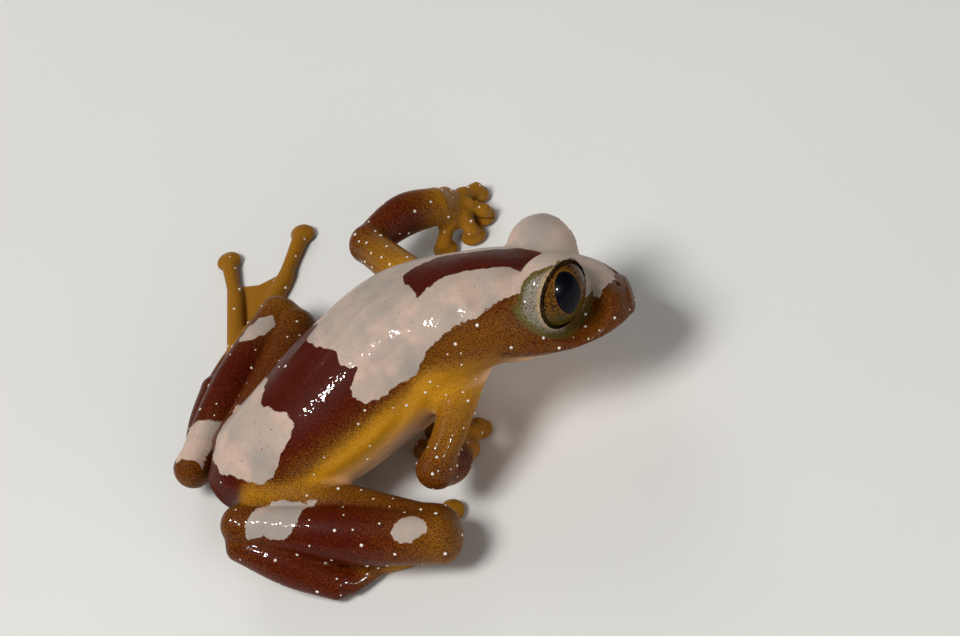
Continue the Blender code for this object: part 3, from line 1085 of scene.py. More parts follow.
class Colouring:
    """Works out, for each point of the skin, what the skin is like there."""

    # Where the trunk's markings end and where the head's begin, along the spine
    NECK = (20.5, 23.0)
    # How quickly a limb segment's tint gives way to its neighbour's
    BLEND = 0.22
    # Places along the spine, and how far round the body the maroon back ends at each, how far
    # round the amber begins, and the angle from the top at which the belly begins
    MAROON_ENDS = ((0, 8, 16, 22, 26), (3.8, 5.4, 6.9, 3.8, 2.8))
    AMBER_STARTS = ((0, 8, 14), (4.2, 5.2, 6.0))
    BELLY_STARTS = ((3, 6, 13, 17), (2.0, 1.6, 1.6, 2.0))

    def __init__(self, flesh: Flesh, points: np.ndarray) -> None:
        """Charts the points once on the spine and on each limb segment.

        Args:
            flesh: The sculpted body.
            points: The skin's points.
        """
        self.points = points
        self.local = HEAD.local(points)
        self.eyes = flesh.eyes
        self.spine = flesh.spine.chart(points)
        self.limbs = {name: tube.chart(points) for name, tube in flesh.bones.items()}
        self.lengths = {name: tube.length for name, tube in flesh.bones.items()}
        self.limb_distance = np.min([chart.distance for chart in self.limbs.values()], axis=0)
        self.head = smooth_step(*self.NECK, self.spine.along)

    def pale(self) -> np.ndarray:
        """How far inside a pale patch each point is, in millimetres.

        Returns:
            One depth for each point, negative outside.
        """
        found = np.max([patch.inside(self.spine) for patch in BACK_PATCHES], axis=0)
        found = np.minimum(found, 2.2 - 2.0 * np.abs(self.spine.distance))
        plan = self.local[:, :2]
        halves = [inside_outline(plan * (1, side.value), np.array(CROWN)) for side in Side]
        crown = np.minimum(np.maximum(*halves), self.local[:, 2] - CROWN_FLOOR)
        crown = np.where(self.spine.along > 21.0, crown, -1.0)
        found = np.maximum(found, np.maximum(crown, self._lid()))
        dome = np.max([self._eye_bulge(eye) for eye in self.eyes.values()], axis=0)
        stripe = np.minimum(MIDDLE_STRIPE.inside(self.spine), 0.35 - dome)
        found = np.minimum(found, -stripe)
        found = np.minimum(found, np.minimum(self.limb_distance - 0.1, 0.15 - self.orbit()))
        for patch in LEG_PATCHES:
            chart = self.limbs[patch.tube]
            owned = (self._others(patch.tube) - chart.distance) + 0.3
            found = np.maximum(found, np.minimum(patch.inside(chart), owned))
        return np.clip(found, -1.5, 1.5)

    def _lid(self) -> np.ndarray:
        """How far inside the pale upper half of an eye's swelling each point is.

        Returns:
            One depth for each point, negative outside.
        """
        found = []
        for eye in self.eyes.values():
            offset = self.points - eye.centre
            near = eye.ball + 0.5 - np.linalg.norm(offset, axis=1)
            above = self.local[:, 2] + 0.5 + 0.6 * self.local[:, 0]
            found.append(np.minimum(np.minimum(near, above), -self._crescent(eye)))
        return np.max(found, axis=0)

    def _crescent(self, eye: EyeOpening) -> np.ndarray:
        """How far points are inside a crescent that is widest behind the eye's opening.

        Args:
            eye: The eye that it belongs to.

        Returns:
            One depth for each point, negative outside.
        """
        rear = unit(np.array((-0.67, 0.7 * eye.side.value, -0.2)) @ HEAD.axes())
        rear = unit(rear - (rear @ eye.direction) * eye.direction)
        towards = ((self.points - eye.centre) @ rear) / np.maximum(eye.radius(self.points), 0.1)
        return 1.5 * smooth_step(-0.1, 0.9, towards) - self._from_edge(eye)

    def _eye_bulge(self, eye: EyeOpening) -> np.ndarray:
        """How far points stand out of the head on an eye's bulge.

        Args:
            eye: The eye that it belongs to.

        Returns:
            Their distances, and 0 for those that aren't on it.
        """
        out = self.spine.distance
        near = np.linalg.norm(self.points - eye.centre, axis=1) < eye.ball + 0.6
        return np.where(near, out, 0.0)

    def _others(self, name: str) -> np.ndarray:
        """The distance to the nearest of the other limb segments and the trunk."""
        rest = [chart.distance for other, chart in self.limbs.items() if other != name]
        return np.minimum(np.min(rest, axis=0), self.spine.distance)

    def _blend(self, spine: np.ndarray, part: str) -> np.ndarray:
        """Carries a value smoothly from the trunk over to each limb segment.

        Args:
            spine: The value on the trunk and head.
            part: Which of the limb tints' values it is.

        Returns:
            The value at each point.
        """
        weight = np.exp(-np.maximum(self.spine.distance, 0.0) / self.BLEND)
        total, value = weight.copy(), weight * spine
        for name, chart in self.limbs.items():
            tint = getattr(TINTS.get(name) or TINTS[name.rsplit("_", 1)[0]], part)
            share = np.clip(chart.along / self.lengths[name], 0, 1)
            found = np.interp(share, (0.0, 0.5, 1.0), tint)
            if part == "dark":
                found = found * (1 - 0.65 * smooth_step(1.4, 2.5, np.abs(chart.angle)))
            weight = np.exp(-np.maximum(chart.distance, 0.0) / self.BLEND) + 1e-9
            total += weight
            value += weight * found
        return value / total

    def dark(self) -> np.ndarray:
        """How dark each point is, from 0 on the ochre flanks to 1 on the maroon back.

        Returns:
            One share for each point.
        """
        round_body = np.abs(self.spine.around)
        along = self.spine.along
        edge = np.interp(along, *self.MAROON_ENDS)
        trunk = 1 - smooth_step(-1.6, 1.5, round_body - edge)
        stripe = smooth_step(-0.3, 0.5, MIDDLE_STRIPE.inside(self.spine))
        spine = np.maximum(trunk * (1 - 0.75 * self.head), np.maximum(0.3 * self.head, stripe))
        return self._blend(spine, "dark") * (1 - self.paw())

    def amber(self) -> np.ndarray:
        """How amber each point is: the hands, feet, groin and armpits.

        Returns:
            One share for each point.
        """
        round_body = np.abs(self.spine.around)
        along = self.spine.along
        edge = np.interp(along, *self.AMBER_STARTS)
        low = smooth_step(0.0, 2.1, round_body - edge) * (1 - self.head)
        front = smooth_step(16.0, 20.0, along)
        return np.maximum(self._blend(low * (0.85 - 0.3 * front), "amber"), self.paw())

    def paw(self) -> np.ndarray:
        """How far each point belongs to a hand or foot.

        Returns:
            One share for each point.
        """
        nearest = np.minimum(self.limb_distance, self.spine.distance)
        paw = smooth_step(0.05, 0.7, nearest) * (1 - smooth_step(3.0, 4.0, self.points[:, 2]))
        for name in ("foot_left", "foot_right"):
            away = np.linalg.norm(self.points - np.array(PAWS[name].root), axis=1)
            paw = paw * (0.2 + 0.8 * smooth_step(1.6, 3.8, away))
        return paw

    def belly(self) -> np.ndarray:
        """How far each point is on the underside: the belly, and the throat below the lip.

        Returns:
            One share for each point.
        """
        edge = np.interp(self.spine.along, *self.BELLY_STARTS)
        under = smooth_step(0.0, 0.45, np.abs(self.spine.angle) - edge)
        forward, _, up = self.local.T
        throat = smooth_step(0.25, 0.8, MOUTH.height(forward) - up)
        under = under + (throat - under) * self.head
        return under * smooth_step(0.5, 0.1, self.spine.distance - 0.25)

    def rim(self) -> np.ndarray:
        """How far each point is from the nearest eye's opening or nostril, in millimetres.

        Returns:
            One distance for each point.
        """
        found = []
        for eye in self.eyes.values():
            away = np.hypot(
                np.maximum(eye.radius(self.points) - eye.throat, 0.0),
                np.minimum(eye.height(self.points) - eye.rim_height, 0.0),
            )
            found.append(np.where(eye.height(self.points) > -eye.ball, away, 3.0))
            nostril = np.array(NOSTRIL) * (1, eye.side.value, 1)
            found.append(np.linalg.norm(self.local - nostril, axis=1) - 0.06)
        return np.clip(np.min(found, axis=0), 0.0, 3.0)

    def orbit(self) -> np.ndarray:
        """How far inside the silvery crescent behind and below an eye each point is.

        Returns:
            One depth for each point, negative outside.
        """
        found = []
        for eye in self.eyes.values():
            away = np.linalg.norm(self.points - eye.centre, axis=1) - eye.ball
            found.append(np.minimum(self._crescent(eye), 0.8 - away))
        return np.clip(np.max(found, axis=0), -1.0, 1.0)

    def _from_edge(self, eye: EyeOpening) -> np.ndarray:
        """How far points are from the edge of the opening, measured over the eyeball.

        Args:
            eye: The eye that it belongs to.

        Returns:
            Their distances, negative inside the opening.
        """
        reach = np.arctan2(eye.radius(self.points), eye.height(self.points))
        edge = math.atan2(eye.throat, eye.rim_height)
        return (reach - edge) * eye.ball

    def mouth(self) -> np.ndarray:
        """How far each point is above the mouth's line, in millimetres.

        Returns:
            One height for each point, negative below the line.
        """
        forward, _, up = self.local.T
        line = MOUTH.height(forward)
        outside = np.minimum(forward - MOUTH.corner, 0.0)
        return np.clip(np.where(outside < 0, np.hypot(up - line, outside), up - line), -2, 2)

    def all(self) -> dict[str, np.ndarray]:
        """Every quality by name."""
        names = ("pale", "dark", "amber", "paw", "belly", "rim", "orbit", "mouth")
        return {name: getattr(self, name)() for name in names}


@dataclass(frozen=True)
class MouthLine:
    """The line where the upper lip meets the jaw, in the head frame."""

    corner: float = -3.9
    snout: float = 4.5
    sag: float = 0.42
    rise: float = 0.55
    front: float = -3.1
    ledge: float = 0.13

    def height(self, forward: np.ndarray) -> np.ndarray:
        """The line's height: a little lower along the cheeks than at the snout and the corners."""
        share = np.clip((forward - self.corner) / (self.snout - self.corner), 0, 1)
        return self.front - self.sag * np.sin(math.pi * share) + self.rise * (1 - share) ** 3


MOUTH = MouthLine()


@dataclass(frozen=True)
class Relief:
    """Low forms raised on the skin: the ridges of the back, the folds of the flank and the lip."""

    ridge_height: float = 0.12
    ridge_side: float = 1.35
    ridge_wide: float = 0.42
    ridge_start: tuple[float, float] = (8.0, 10.5)
    ridge_end: tuple[float, float] = (17.5, 14.0)
    fold_height: float = 0.035
    fold_pace: float = 4.2
    fold_sway: tuple[float, float] = (1.3, 0.8)
    fold_start: tuple[float, float] = (4.5, 7.0)
    fold_end: tuple[float, float] = (16.0, 11.0)
    lip_height: float = 0.05
    lip_above: float = 0.22
    lip_wide: float = 0.16

    def height(self, look: Colouring) -> np.ndarray:
        """How far the skin is raised at each point, in millimetres.

        Args:
            look: What the skin is like.

        Returns:
            One height for each point, negative where it is lowered.
        """
        trunk = smooth_step(0.4, 0.0, np.abs(look.spine.distance)) * (1 - look.head)
        return (self._ridges(look.spine) + self._folds(look.spine)) * trunk + self._lip(look)

    def _ridges(self, spine: Chart) -> np.ndarray:
        """The two low ridges along the back.

        Args:
            spine: Where the skin's points lie on the trunk.

        Returns:
            One height for each point.
        """
        rise = smooth_step(*self.ridge_start, spine.along) * smooth_step(*self.ridge_end, spine.along)
        ridges = sum(
            np.exp(-(((spine.around - side.value * self.ridge_side) / self.ridge_wide) ** 2))
            for side in Side
        )
        return self.ridge_height * ridges * rise

    def _folds(self, spine: Chart) -> np.ndarray:
        """The fine folds along the flanks, which sway a little.

        Args:
            spine: Where the skin's points lie on the trunk.

        Returns:
            One height for each point.
        """
        sway, pace = self.fold_sway
        waves = np.sin(spine.around * self.fold_pace + sway * np.sin(spine.along * pace))
        low = smooth_step(*self.fold_start, np.abs(spine.around))
        return self.fold_height * low * waves * smooth_step(*self.fold_end, spine.along)

    def _lip(self, look: Colouring) -> np.ndarray:
        """The upper lip, and the jaw a little inside it.

        Args:
            look: What the skin is like.

        Returns:
            One height for each point, negative on the jaw.
        """
        mouth = look.mouth()
        near = smooth_step(1.4, 0.5, np.abs(mouth))
        near = near * smooth_step(0.45, 0.1, np.abs(look.spine.distance))
        near = near * smooth_step(MOUTH.corner, MOUTH.corner + 1.2, look.local[:, 0])
        lip = self.lip_height * np.exp(-(((mouth - self.lip_above) / self.lip_wide) ** 2))
        return (lip - MOUTH.ledge * smooth_step(0.05, -0.05, mouth)) * near


def normals(points: np.ndarray, faces: np.ndarray) -> np.ndarray:
    """The outward direction at each point of a mesh of four-sided faces.

    Args:
        points: One row for each point.
        faces: One row of corner numbers for each face.

    Returns:
        One direction for each point, at length one.
    """
    a, b, c, d = (points[faces[:, k]] for k in range(4))
    facing = np.cross(c - a, d - b)
    total = np.zeros_like(points)
    for corner in faces.T:
        for axis in range(3):
            total[:, axis] += np.bincount(corner, facing[:, axis], len(points))
    return total / np.maximum(np.linalg.norm(total, axis=1, keepdims=True), TINY)


def ball_faces(rings: int, sides: int) -> np.ndarray:
    """Four-sided faces that close a ball of rings.

    Args:
        rings: How many rings of points lie from one end to the other.
        sides: How many points lie on each ring, an even number.

    Returns:
        One row of corner numbers for each face, wound to face outwards.
    """
    near = (np.arange(rings - 1)[:, None] * sides + np.arange(sides)).ravel()
    far = (np.arange(rings - 1)[:, None] * sides + (np.arange(sides) + 1) % sides).ravel()
    walls = np.stack([near, near + sides, far + sides, far], axis=1)
    k = np.arange(sides // 2 - 1)
    cap = np.stack([k, k + 1, sides - 2 - k, sides - 1 - k], axis=1)
    return np.concatenate([walls, cap, (rings - 1) * sides + cap[:, ::-1]])


def built(name: str, points: np.ndarray, faces: np.ndarray) -> bpy.types.Object:
    """Makes an object from points in millimetres in the frog's own frame.

    Args:
        name: The piece's name.
        points: One row for each point.
        faces: One row of corner numbers for each face.

    Returns:
        The new object, shaded smooth, in metres.
    """
    mesh = bpy.data.meshes.new(name)
    placed = (points - np.array(CENTRE)) * MM
    mesh.vertices.add(len(placed))
    mesh.vertices.foreach_set("co", placed.astype(np.float32).ravel())
    mesh.loops.add(faces.size)
    mesh.loops.foreach_set("vertex_index", faces.astype(np.int32).ravel())
    mesh.polygons.add(len(faces))
    mesh.polygons.foreach_set("loop_start", np.arange(len(faces), dtype=np.int32) * faces.shape[1])
    mesh.update(calc_edges=True)
    mesh.shade_smooth()
    obj = bpy.data.objects.new(name, mesh)
    bpy.context.scene.collection.objects.link(obj)
    return obj


def keep(obj: bpy.types.Object, values: dict[str, np.ndarray]) -> None:
    """Keeps values at an object's points, for its material to read.

    Args:
        obj: The object.
        values: One number for each point, by name.
    """
    for name, value in values.items():
        attribute = obj.data.attributes.new(name, "FLOAT", "POINT")
        attribute.data.foreach_set("value", value.astype(np.float32))


def dress(obj: bpy.types.Object, material: bpy.types.Material, nodes: list[str]) -> None:
    """Gives a piece its material and slot, and says which solids it stands for.

    Args:
        obj: The piece.
        material: Its material.
        nodes: The names of the solids that it replaces.
    """
    obj.data.materials.append(material)
    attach(obj, "root")
    if nodes:
        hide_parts(*nodes)
    log.info("%s: %d points", obj.name, len(obj.data.vertices))


def linear(code: str) -> tuple[float, float, float, float]:
    """Turns an sRGB hex colour into the linear values that a shader takes.

    Args:
        code: The colour, as # and six hex digits.

    Returns:
        Red, green, blue and an opacity of one.
    """
    parts = [int(code[k : k + 2], 16) / 255 for k in (1, 3, 5)]
    red, green, blue = (p / 12.92 if p <= 0.04045 else ((p + 0.055) / 1.055) ** 2.4 for p in parts)
    return red, green, blue, 1.0


@dataclass(frozen=True)
class Grain:
    """Soft random blotches: their size in millimetres, and how much finer detail they hold."""

    size: float
    detail: float = 2.0
    rough: float = 0.5


# The settings of nodes that are used again and again. A colour mix takes its share at input 0,
# the colour beneath at 6 and the colour over it at 7, and gives the result at output 2.
MULTIPLY_ADD = {"operation": "MULTIPLY_ADD"}
SMOOTH = {"interpolation_type": "SMOOTHSTEP"}
COLOURS = {"result": 2, "data_type": "RGBA"}

# A number, a hex colour, a direction, or the socket of the node that works it out
Source = float | str | tuple[float, ...] | bpy.types.NodeSocket


class Paint:
    """One material's nodes, which work in millimetres on the object."""

    def __init__(self, name: str, grains: dict[str, Grain], values: tuple[str, ...] = ()) -> None:
        """Starts a material with a Principled shader and what the rest of its nodes read.

        Args:
            name: The material's name.
            grains: Its noises, by name.
            values: The names of the values that it reads from the mesh's points.
        """
        self.material = bpy.data.materials.new(name)
        self.material.use_nodes = True
        self.tree = self.material.node_tree
        place = self.add("TexCoord", {}, "Object")
        place = self.add("VectorMath", {0: place, "Scale": 1 / MM}, operation="SCALE")
        self.read: dict[str, bpy.types.NodeSocket] = {}
        for key, grain in grains.items():
            inputs = {"Scale": 1 / grain.size, "Detail": grain.detail, "Roughness": grain.rough}
            self.read[key] = self.add("TexNoise", {"Vector": place, **inputs})
        for key in values:
            self.read[key] = self.add("Attribute", {}, "Fac", attribute_name=key)

    def add(
        self, kind: str, inputs: dict[str | int, Source], result: str | int = 0, **settings: str
    ) -> bpy.types.NodeSocket:
        """Adds a node with its settings and links.

        Args:
            kind: The node's type, without its first word.
            inputs: What each input takes, by the input's name or number.
            result: The output that is wanted, by name or number.
            settings: The node's own options.

        Returns:
            That output.
        """
        node = self.tree.nodes.new("ShaderNode" + kind)
        for name, setting in settings.items():
            setattr(node, name, setting)
        for name, source in inputs.items():
            self._feed(node.inputs[name], source)
        return node.outputs[result]

    def _feed(self, socket: bpy.types.NodeSocket, source: Source) -> None:
        """Links an input to another node, or sets its value.

        Args:
            socket: The input.
            source: What it takes.
        """
        if isinstance(source, bpy.types.NodeSocket):
            self.tree.links.new(source, socket)
        else:
            socket.default_value = linear(source) if isinstance(source, str) else source

    def cover(
        self, under: Source, over: Source, by: Source, low: float, high: float, most: float = 1.0
    ) -> bpy.types.NodeSocket:
        """Lays one colour over another, the more so the further a value is from `low` to `high`.

        Args:
            under: The colour beneath.
            over: The colour laid over it.
            by: The value.
            low: Where nothing of the upper colour shows.
            high: Where the most of it shows.
            most: Its share there.

        Returns:
            The colour.
        """
        reach = {"Value": by, "From Min": low, "From Max": high, "To Max": most}
        share = self.add("MapRange", reach, **SMOOTH)
        return self.add("Mix", {0: share, 6: under, 7: over}, **COLOURS)

    def finish(self, **inputs: Source) -> bpy.types.Material:
        """Feeds the shader's own sockets.

        Args:
            inputs: What each socket takes, named with _ for each space.

        Returns:
            The finished material.
        """
        shader = self.tree.nodes["Principled BSDF"]
        for name, source in inputs.items():
            self._feed(shader.inputs[name.replace("_", " ")], source)
        return self.material


@dataclass(frozen=True)
class MoistSkin:
    """Living amphibian skin, kept wet by mucus: thin, faintly see-through and very finely pebbled.

    The film of mucus gives small sharp highlights over a softer sheen, and the flesh beneath lets
    a little red light through. Dark pigment lies in dots about 0.13 mm apart, which run together
    on the back and part over the amber ground of the flanks.
    """

    ochre: str = "#794911"
    ochre_dot: str = "#381806"
    maroon: str = "#762906"
    maroon_dot: str = "#3E0C02"
    amber: str = "#C88C1C"
    toe: str = "#946316"
    belly: str = "#D3A57C"
    pale: str = "#AF9C8D"
    pale_grey: str = "#918981"
    pale_pink: str = "#C3A694"
    silver: str = "#8C857B"
    olive: str = "#5A5022"
    gold: str = "#C9A678"
    # Near-black: the lids' own dark margin, and painted shade in the eye openings' gaps, the nostrils
    # and the mouth's crease
    lid_margin_and_crease_shade: str = "#120A06"
    values: tuple[str, ...] = ("pale", "dark", "amber", "paw", "belly", "rim", "orbit", "mouth")
    # How dark the skin is where it is all ochre, and where it is all maroon
    tones: tuple[float, float] = (0.05, 0.95)
    # The relief of the granules and of the film of mucus, in millimetres, and how far each tells
    granules: tuple[float, float] = (0.05, 0.8)
    ripples: tuple[float, float] = (0.05, 0.85)

    def grains(self) -> dict[str, Grain]:
        """The skin's noises. Real granules and pores are too fine to show, so these are coarser.

        Returns:
            The noises by name.
        """
        return {
            "dots": Grain(0.065, 1.0),
            "cloud": Grain(2.6, 4.0, 0.6),
            "granule": Grain(0.14, 3.0, 0.6),
            "ripple": Grain(0.5, 1.0),
            "fleck": Grain(0.1, 2.0, 0.6),
            "crescent_edge": Grain(0.25, 3.0),
            "patch_edge": Grain(0.75, 5.0, 0.62),
            "grey": Grain(3.2, 3.0, 0.55),
            "pore": Grain(0.22, 0.0),
        }

    def material(self) -> bpy.types.Material:
        """The skin's material.

        Returns:
            The material, from the pigment up to the film of mucus.
        """
        paint = Paint("moist_frog_skin", self.grains(), self.values)
        colour = self._pigment(paint)
        colour = self._orbit(paint, colour)
        colour = self._pale(paint, colour)
        # Painted shade: near-black in the gap round each eye's opening, over the lid's dark margin,
        # and inside each nostril
        colour = paint.cover(colour, self.lid_margin_and_crease_shade, paint.read["rim"], 0.14, 0.08)
        # Painted shade: a dark line along the mouth's crease, where the lip overhangs the jaw
        mouth = paint.add("Math", {0: paint.read["mouth"]}, operation="ABSOLUTE")
        colour = paint.cover(colour, self.lid_margin_and_crease_shade, mouth, 0.09, 0.03, 0.75)
        relief = []
        for name, (depth, strength) in (("granule", self.granules), ("ripple", self.ripples)):
            inputs = {"Height": paint.read[name], "Distance": depth * MM, "Strength": strength}
            relief.append(paint.add("Bump", inputs))
        return paint.finish(
            Base_Color=colour,
            Roughness=0.4,
            Normal=relief[0],
            IOR=1.36,
            Specular_IOR_Level=0.07,
            Subsurface_Weight=0.12,
            Subsurface_Radius=(1.0, 0.35, 0.15),
            Subsurface_Scale=0.6 * MM,
            Coat_Weight=0.18,
            Coat_Roughness=0.05,
            Coat_Normal=relief[1],
        )

    def _pigment(self, paint: Paint) -> bpy.types.NodeSocket:
        """The ground colours, from maroon through ochre to amber, with their darker dots.

        Args:
            paint: The material's nodes.

        Returns:
            The colour of the back, flanks, limbs and belly.
        """
        read = paint.read
        dark = paint.add("Math", {0: read["dark"], 1: 0.25}, operation="SUBTRACT")
        dark = paint.add("Math", {0: read["cloud"], 1: 0.5, 2: dark}, **MULTIPLY_ADD)
        dots = paint.add("Math", {0: dark, 1: 0.2, 2: read["dots"]}, **MULTIPLY_ADD)
        dots = paint.add("MapRange", {"Value": dots, "From Min": 0.4, "From Max": 0.68}, **SMOOTH)
        ground = paint.cover(self.ochre, self.maroon, dark, *self.tones)
        pigment = paint.cover(self.ochre_dot, self.maroon_dot, dark, *self.tones)
        amber = paint.add("Math", {0: read["cloud"], 1: 0.4, 2: read["amber"]}, **MULTIPLY_ADD)
        reach = {"Value": amber, "From Min": 0.25, "From Max": 1.15}
        amber = paint.add("MapRange", reach, **SMOOTH)
        thinned = paint.add("Math", {0: amber, 1: -0.68, 2: 1.0}, **MULTIPLY_ADD)
        dots = paint.add("Math", {0: dots, 1: thinned}, operation="MULTIPLY")
        light = paint.add("Mix", {0: read["paw"], 6: self.amber, 7: self.toe}, **COLOURS)
        colour = paint.add("Mix", {0: amber, 6: ground, 7: light}, **COLOURS)
        colour = paint.add("Mix", {0: dots, 6: colour, 7: pigment}, **COLOURS)
        return paint.add("Mix", {0: read["belly"], 6: colour, 7: self.belly}, **COLOURS)

    def _orbit(self, paint: Paint, colour: Source) -> bpy.types.NodeSocket:
        """Lays the silvery crescent, speckled with olive, behind and below each eye.

        Args:
            paint: The material's nodes.
            colour: The colour so far.

        Returns:
            The colour with the crescents.
        """
        read = paint.read
        inner = paint.add("Math", {0: read["fleck"], 1: 1.1, 2: read["orbit"]}, **MULTIPLY_ADD)
        silver = paint.cover(self.olive, self.silver, inner, 0.85, 1.35)
        line = paint.add("Math", {0: read["fleck"], 1: 0.7, 2: read["rim"]}, **MULTIPLY_ADD)
        line = paint.add("Math", {0: read["orbit"], 1: -0.12, 2: line}, **MULTIPLY_ADD)
        silver = paint.cover(silver, self.gold, line, 0.56, 0.36, 0.9)
        silver = paint.cover(silver, self.ochre_dot, read["fleck"], 0.48, 0.36, 0.8)
        ragged = {0: read["crescent_edge"], 1: 0.3, 2: read["orbit"]}
        ragged = paint.add("Math", ragged, **MULTIPLY_ADD)
        return paint.cover(colour, silver, ragged, 0.1, 0.35)

    def _pale(self, paint: Paint, colour: Source) -> bpy.types.NodeSocket:
        """Lays the pale patches, with ragged edges and clouds of grey and pink.

        Args:
            paint: The material's nodes.
            colour: The colour so far.

        Returns:
            The colour with the patches.
        """
        read = paint.read
        pale = paint.cover(self.pale, self.pale_pink, read["cloud"], 0.45, 0.65)
        pale = paint.cover(pale, self.pale_grey, read["grey"], 0.42, 0.68, 0.75)
        pale = paint.cover(pale, self.pale_grey, read["dots"], 0.5, 0.72, 0.6)
        pale = paint.cover(pale, self.maroon, read["pore"], 0.8, 0.86, 0.6)
        ragged = {0: read["patch_edge"], 1: 0.75, 2: read["pale"]}
        ragged = paint.add("Math", ragged, **MULTIPLY_ADD)
        return paint.cover(colour, pale, ragged, 0.34, 0.4)


@dataclass(frozen=True)
class WetCornea:
    """The eye under its clear, wet cornea: a mirror-smooth coat over a flecked golden iris."""

    pupil: str = "#04050E"
    bronze: str = "#422509"
    gold: str = "#81571A"
    dark: str = "#1B0C04"
    olive: str = "#3D3A10"
    values: tuple[str, ...] = ("pupil", "edge", "low")
    # How far inside the lid's edge the dark ring lies
    ring: float = 0.33
    # How wide the pale margin round the pupil is
    margin: float = 0.05

    def grains(self) -> dict[str, Grain]:
        """The iris's noises.

        Returns:
            The noises by name.
        """
        return {
            "fleck": Grain(0.09, 3.0, 0.7),
            "blotch": Grain(0.2),
            "ring_edge": Grain(0.4, 1.0),
        }

    def material(self) -> bpy.types.Material:
        """The eyeball's material.

        Returns:
            The material, from the iris up to the cornea.
        """
        paint = Paint("wet_cornea", self.grains(), self.values)
        read = paint.read
        iris = paint.cover(self.bronze, self.gold, read["fleck"], 0.42, 0.68)
        iris = paint.cover(iris, self.dark, read["blotch"], 0.5, 0.66)
        iris = paint.cover(iris, self.olive, read["low"], 0.2, 0.75, 0.75)
        edge = paint.add("Math", {0: read["ring_edge"], 1: 0.05, 2: read["edge"]}, **MULTIPLY_ADD)
        ring = paint.add("Math", {0: edge, 1: self.ring}, operation="SUBTRACT")
        ring = paint.add("Math", {0: ring}, operation="ABSOLUTE")
        iris = paint.cover(iris, self.dark, ring, 0.055, 0.03)
        # Painted shade: the eyeball turns near-black towards the lid's edge, where it passes under
        # the lid, over the iris's own dark rim
        iris = paint.cover(iris, self.dark, edge, 0.12, 0.02)
        margin = paint.add("Math", {0: read["pupil"], 1: self.margin}, operation="ADD")
        margin = paint.add("Math", {0: margin}, operation="ABSOLUTE")
        iris = paint.cover(iris, self.gold, margin, self.margin, 0.02, 0.3)
        return paint.finish(
            Base_Color=paint.cover(iris, self.pupil, read["pupil"], -0.02, 0.02),
            Roughness=0.3,
            Specular_IOR_Level=0.04,
            Coat_Weight=0.2,
            Coat_Roughness=0.02,
            Coat_IOR=1.376,
        )


@dataclass(frozen=True)
class HornySpot:
    """The white horny tip of a skin gland: dense and matt, under the same film of mucus."""

    white: str = "#F2EDE4"
    cream: str = "#D8C9B2"

    def material(self) -> bpy.types.Material:
        """The spots' material.

        Returns:
            The material, white with clouds of cream.
        """
        paint = Paint("white_skin_spot", {"cloud": Grain(0.4)})
        tint = {0: paint.read["cloud"], 6: self.white, 7: self.cream}
        tint = paint.add("Mix", tint, **COLOURS)
        return paint.finish(Base_Color=tint, Roughness=0.35, Coat_Weight=0.5, Coat_Roughness=0.1)


@dataclass(frozen=True)
class StudioPaper:
    """Matt seamless background paper, which gives a soft even tone."""

    tone: str = "#D9D7D2"
    shade: str = "#D3D1CC"

    def material(self) -> bpy.types.Material:
        """The floor's material.

        Returns:
            The material, with faint broad clouds.
        """
        paint = Paint("seamless_paper", {"cloud": Grain(30.0)})
        tint = {0: paint.read["cloud"], 6: self.tone, 7: self.shade}
        return paint.finish(Base_Color=paint.add("Mix", tint, **COLOURS), Roughness=0.85)


class Hide:
    """The one seamless skin over all the flesh, with its relief and its markings."""

    def __init__(self, flesh: Flesh) -> None:
        """Draws the skin and works out what it is like at each of its points.

        Args:
            flesh: The sculpted body.
        """
        points, self.faces = flesh.skin()
        self.look = Colouring(flesh, points)
        self.facing = normals(points, self.faces)
        self.points = points + self.facing * Relief().height(self.look)[:, None]
        self.points[:, 2] = np.maximum(self.points[:, 2], 0.0)
        self.values = self.look.all()

    def replaced(self) -> list[str]:
        """The names of the solids that the skin stands for: all but the eyes.

        Returns:
            The names.
        """
        names = ["torso", "head", "lower_jaw"]
        segments = ("upper_arm", "forearm", "hand", "thigh", "shank", "tarsus", "foot")
        for side in Side:
            word = side.name.lower()
            names += [f"{part}_{word}" for part in segments]
            for digit, count in (("finger", 4), ("toe", 5)):
                names += [f"{digit}_{word}_{number}" for number in range(1, count + 1)]
        return names

    def build(self) -> None:
        """Builds the skin and dresses it."""
        piece = built("skin", self.points, self.faces)
        keep(piece, self.values)
        dress(piece, MoistSkin().material(), self.replaced())


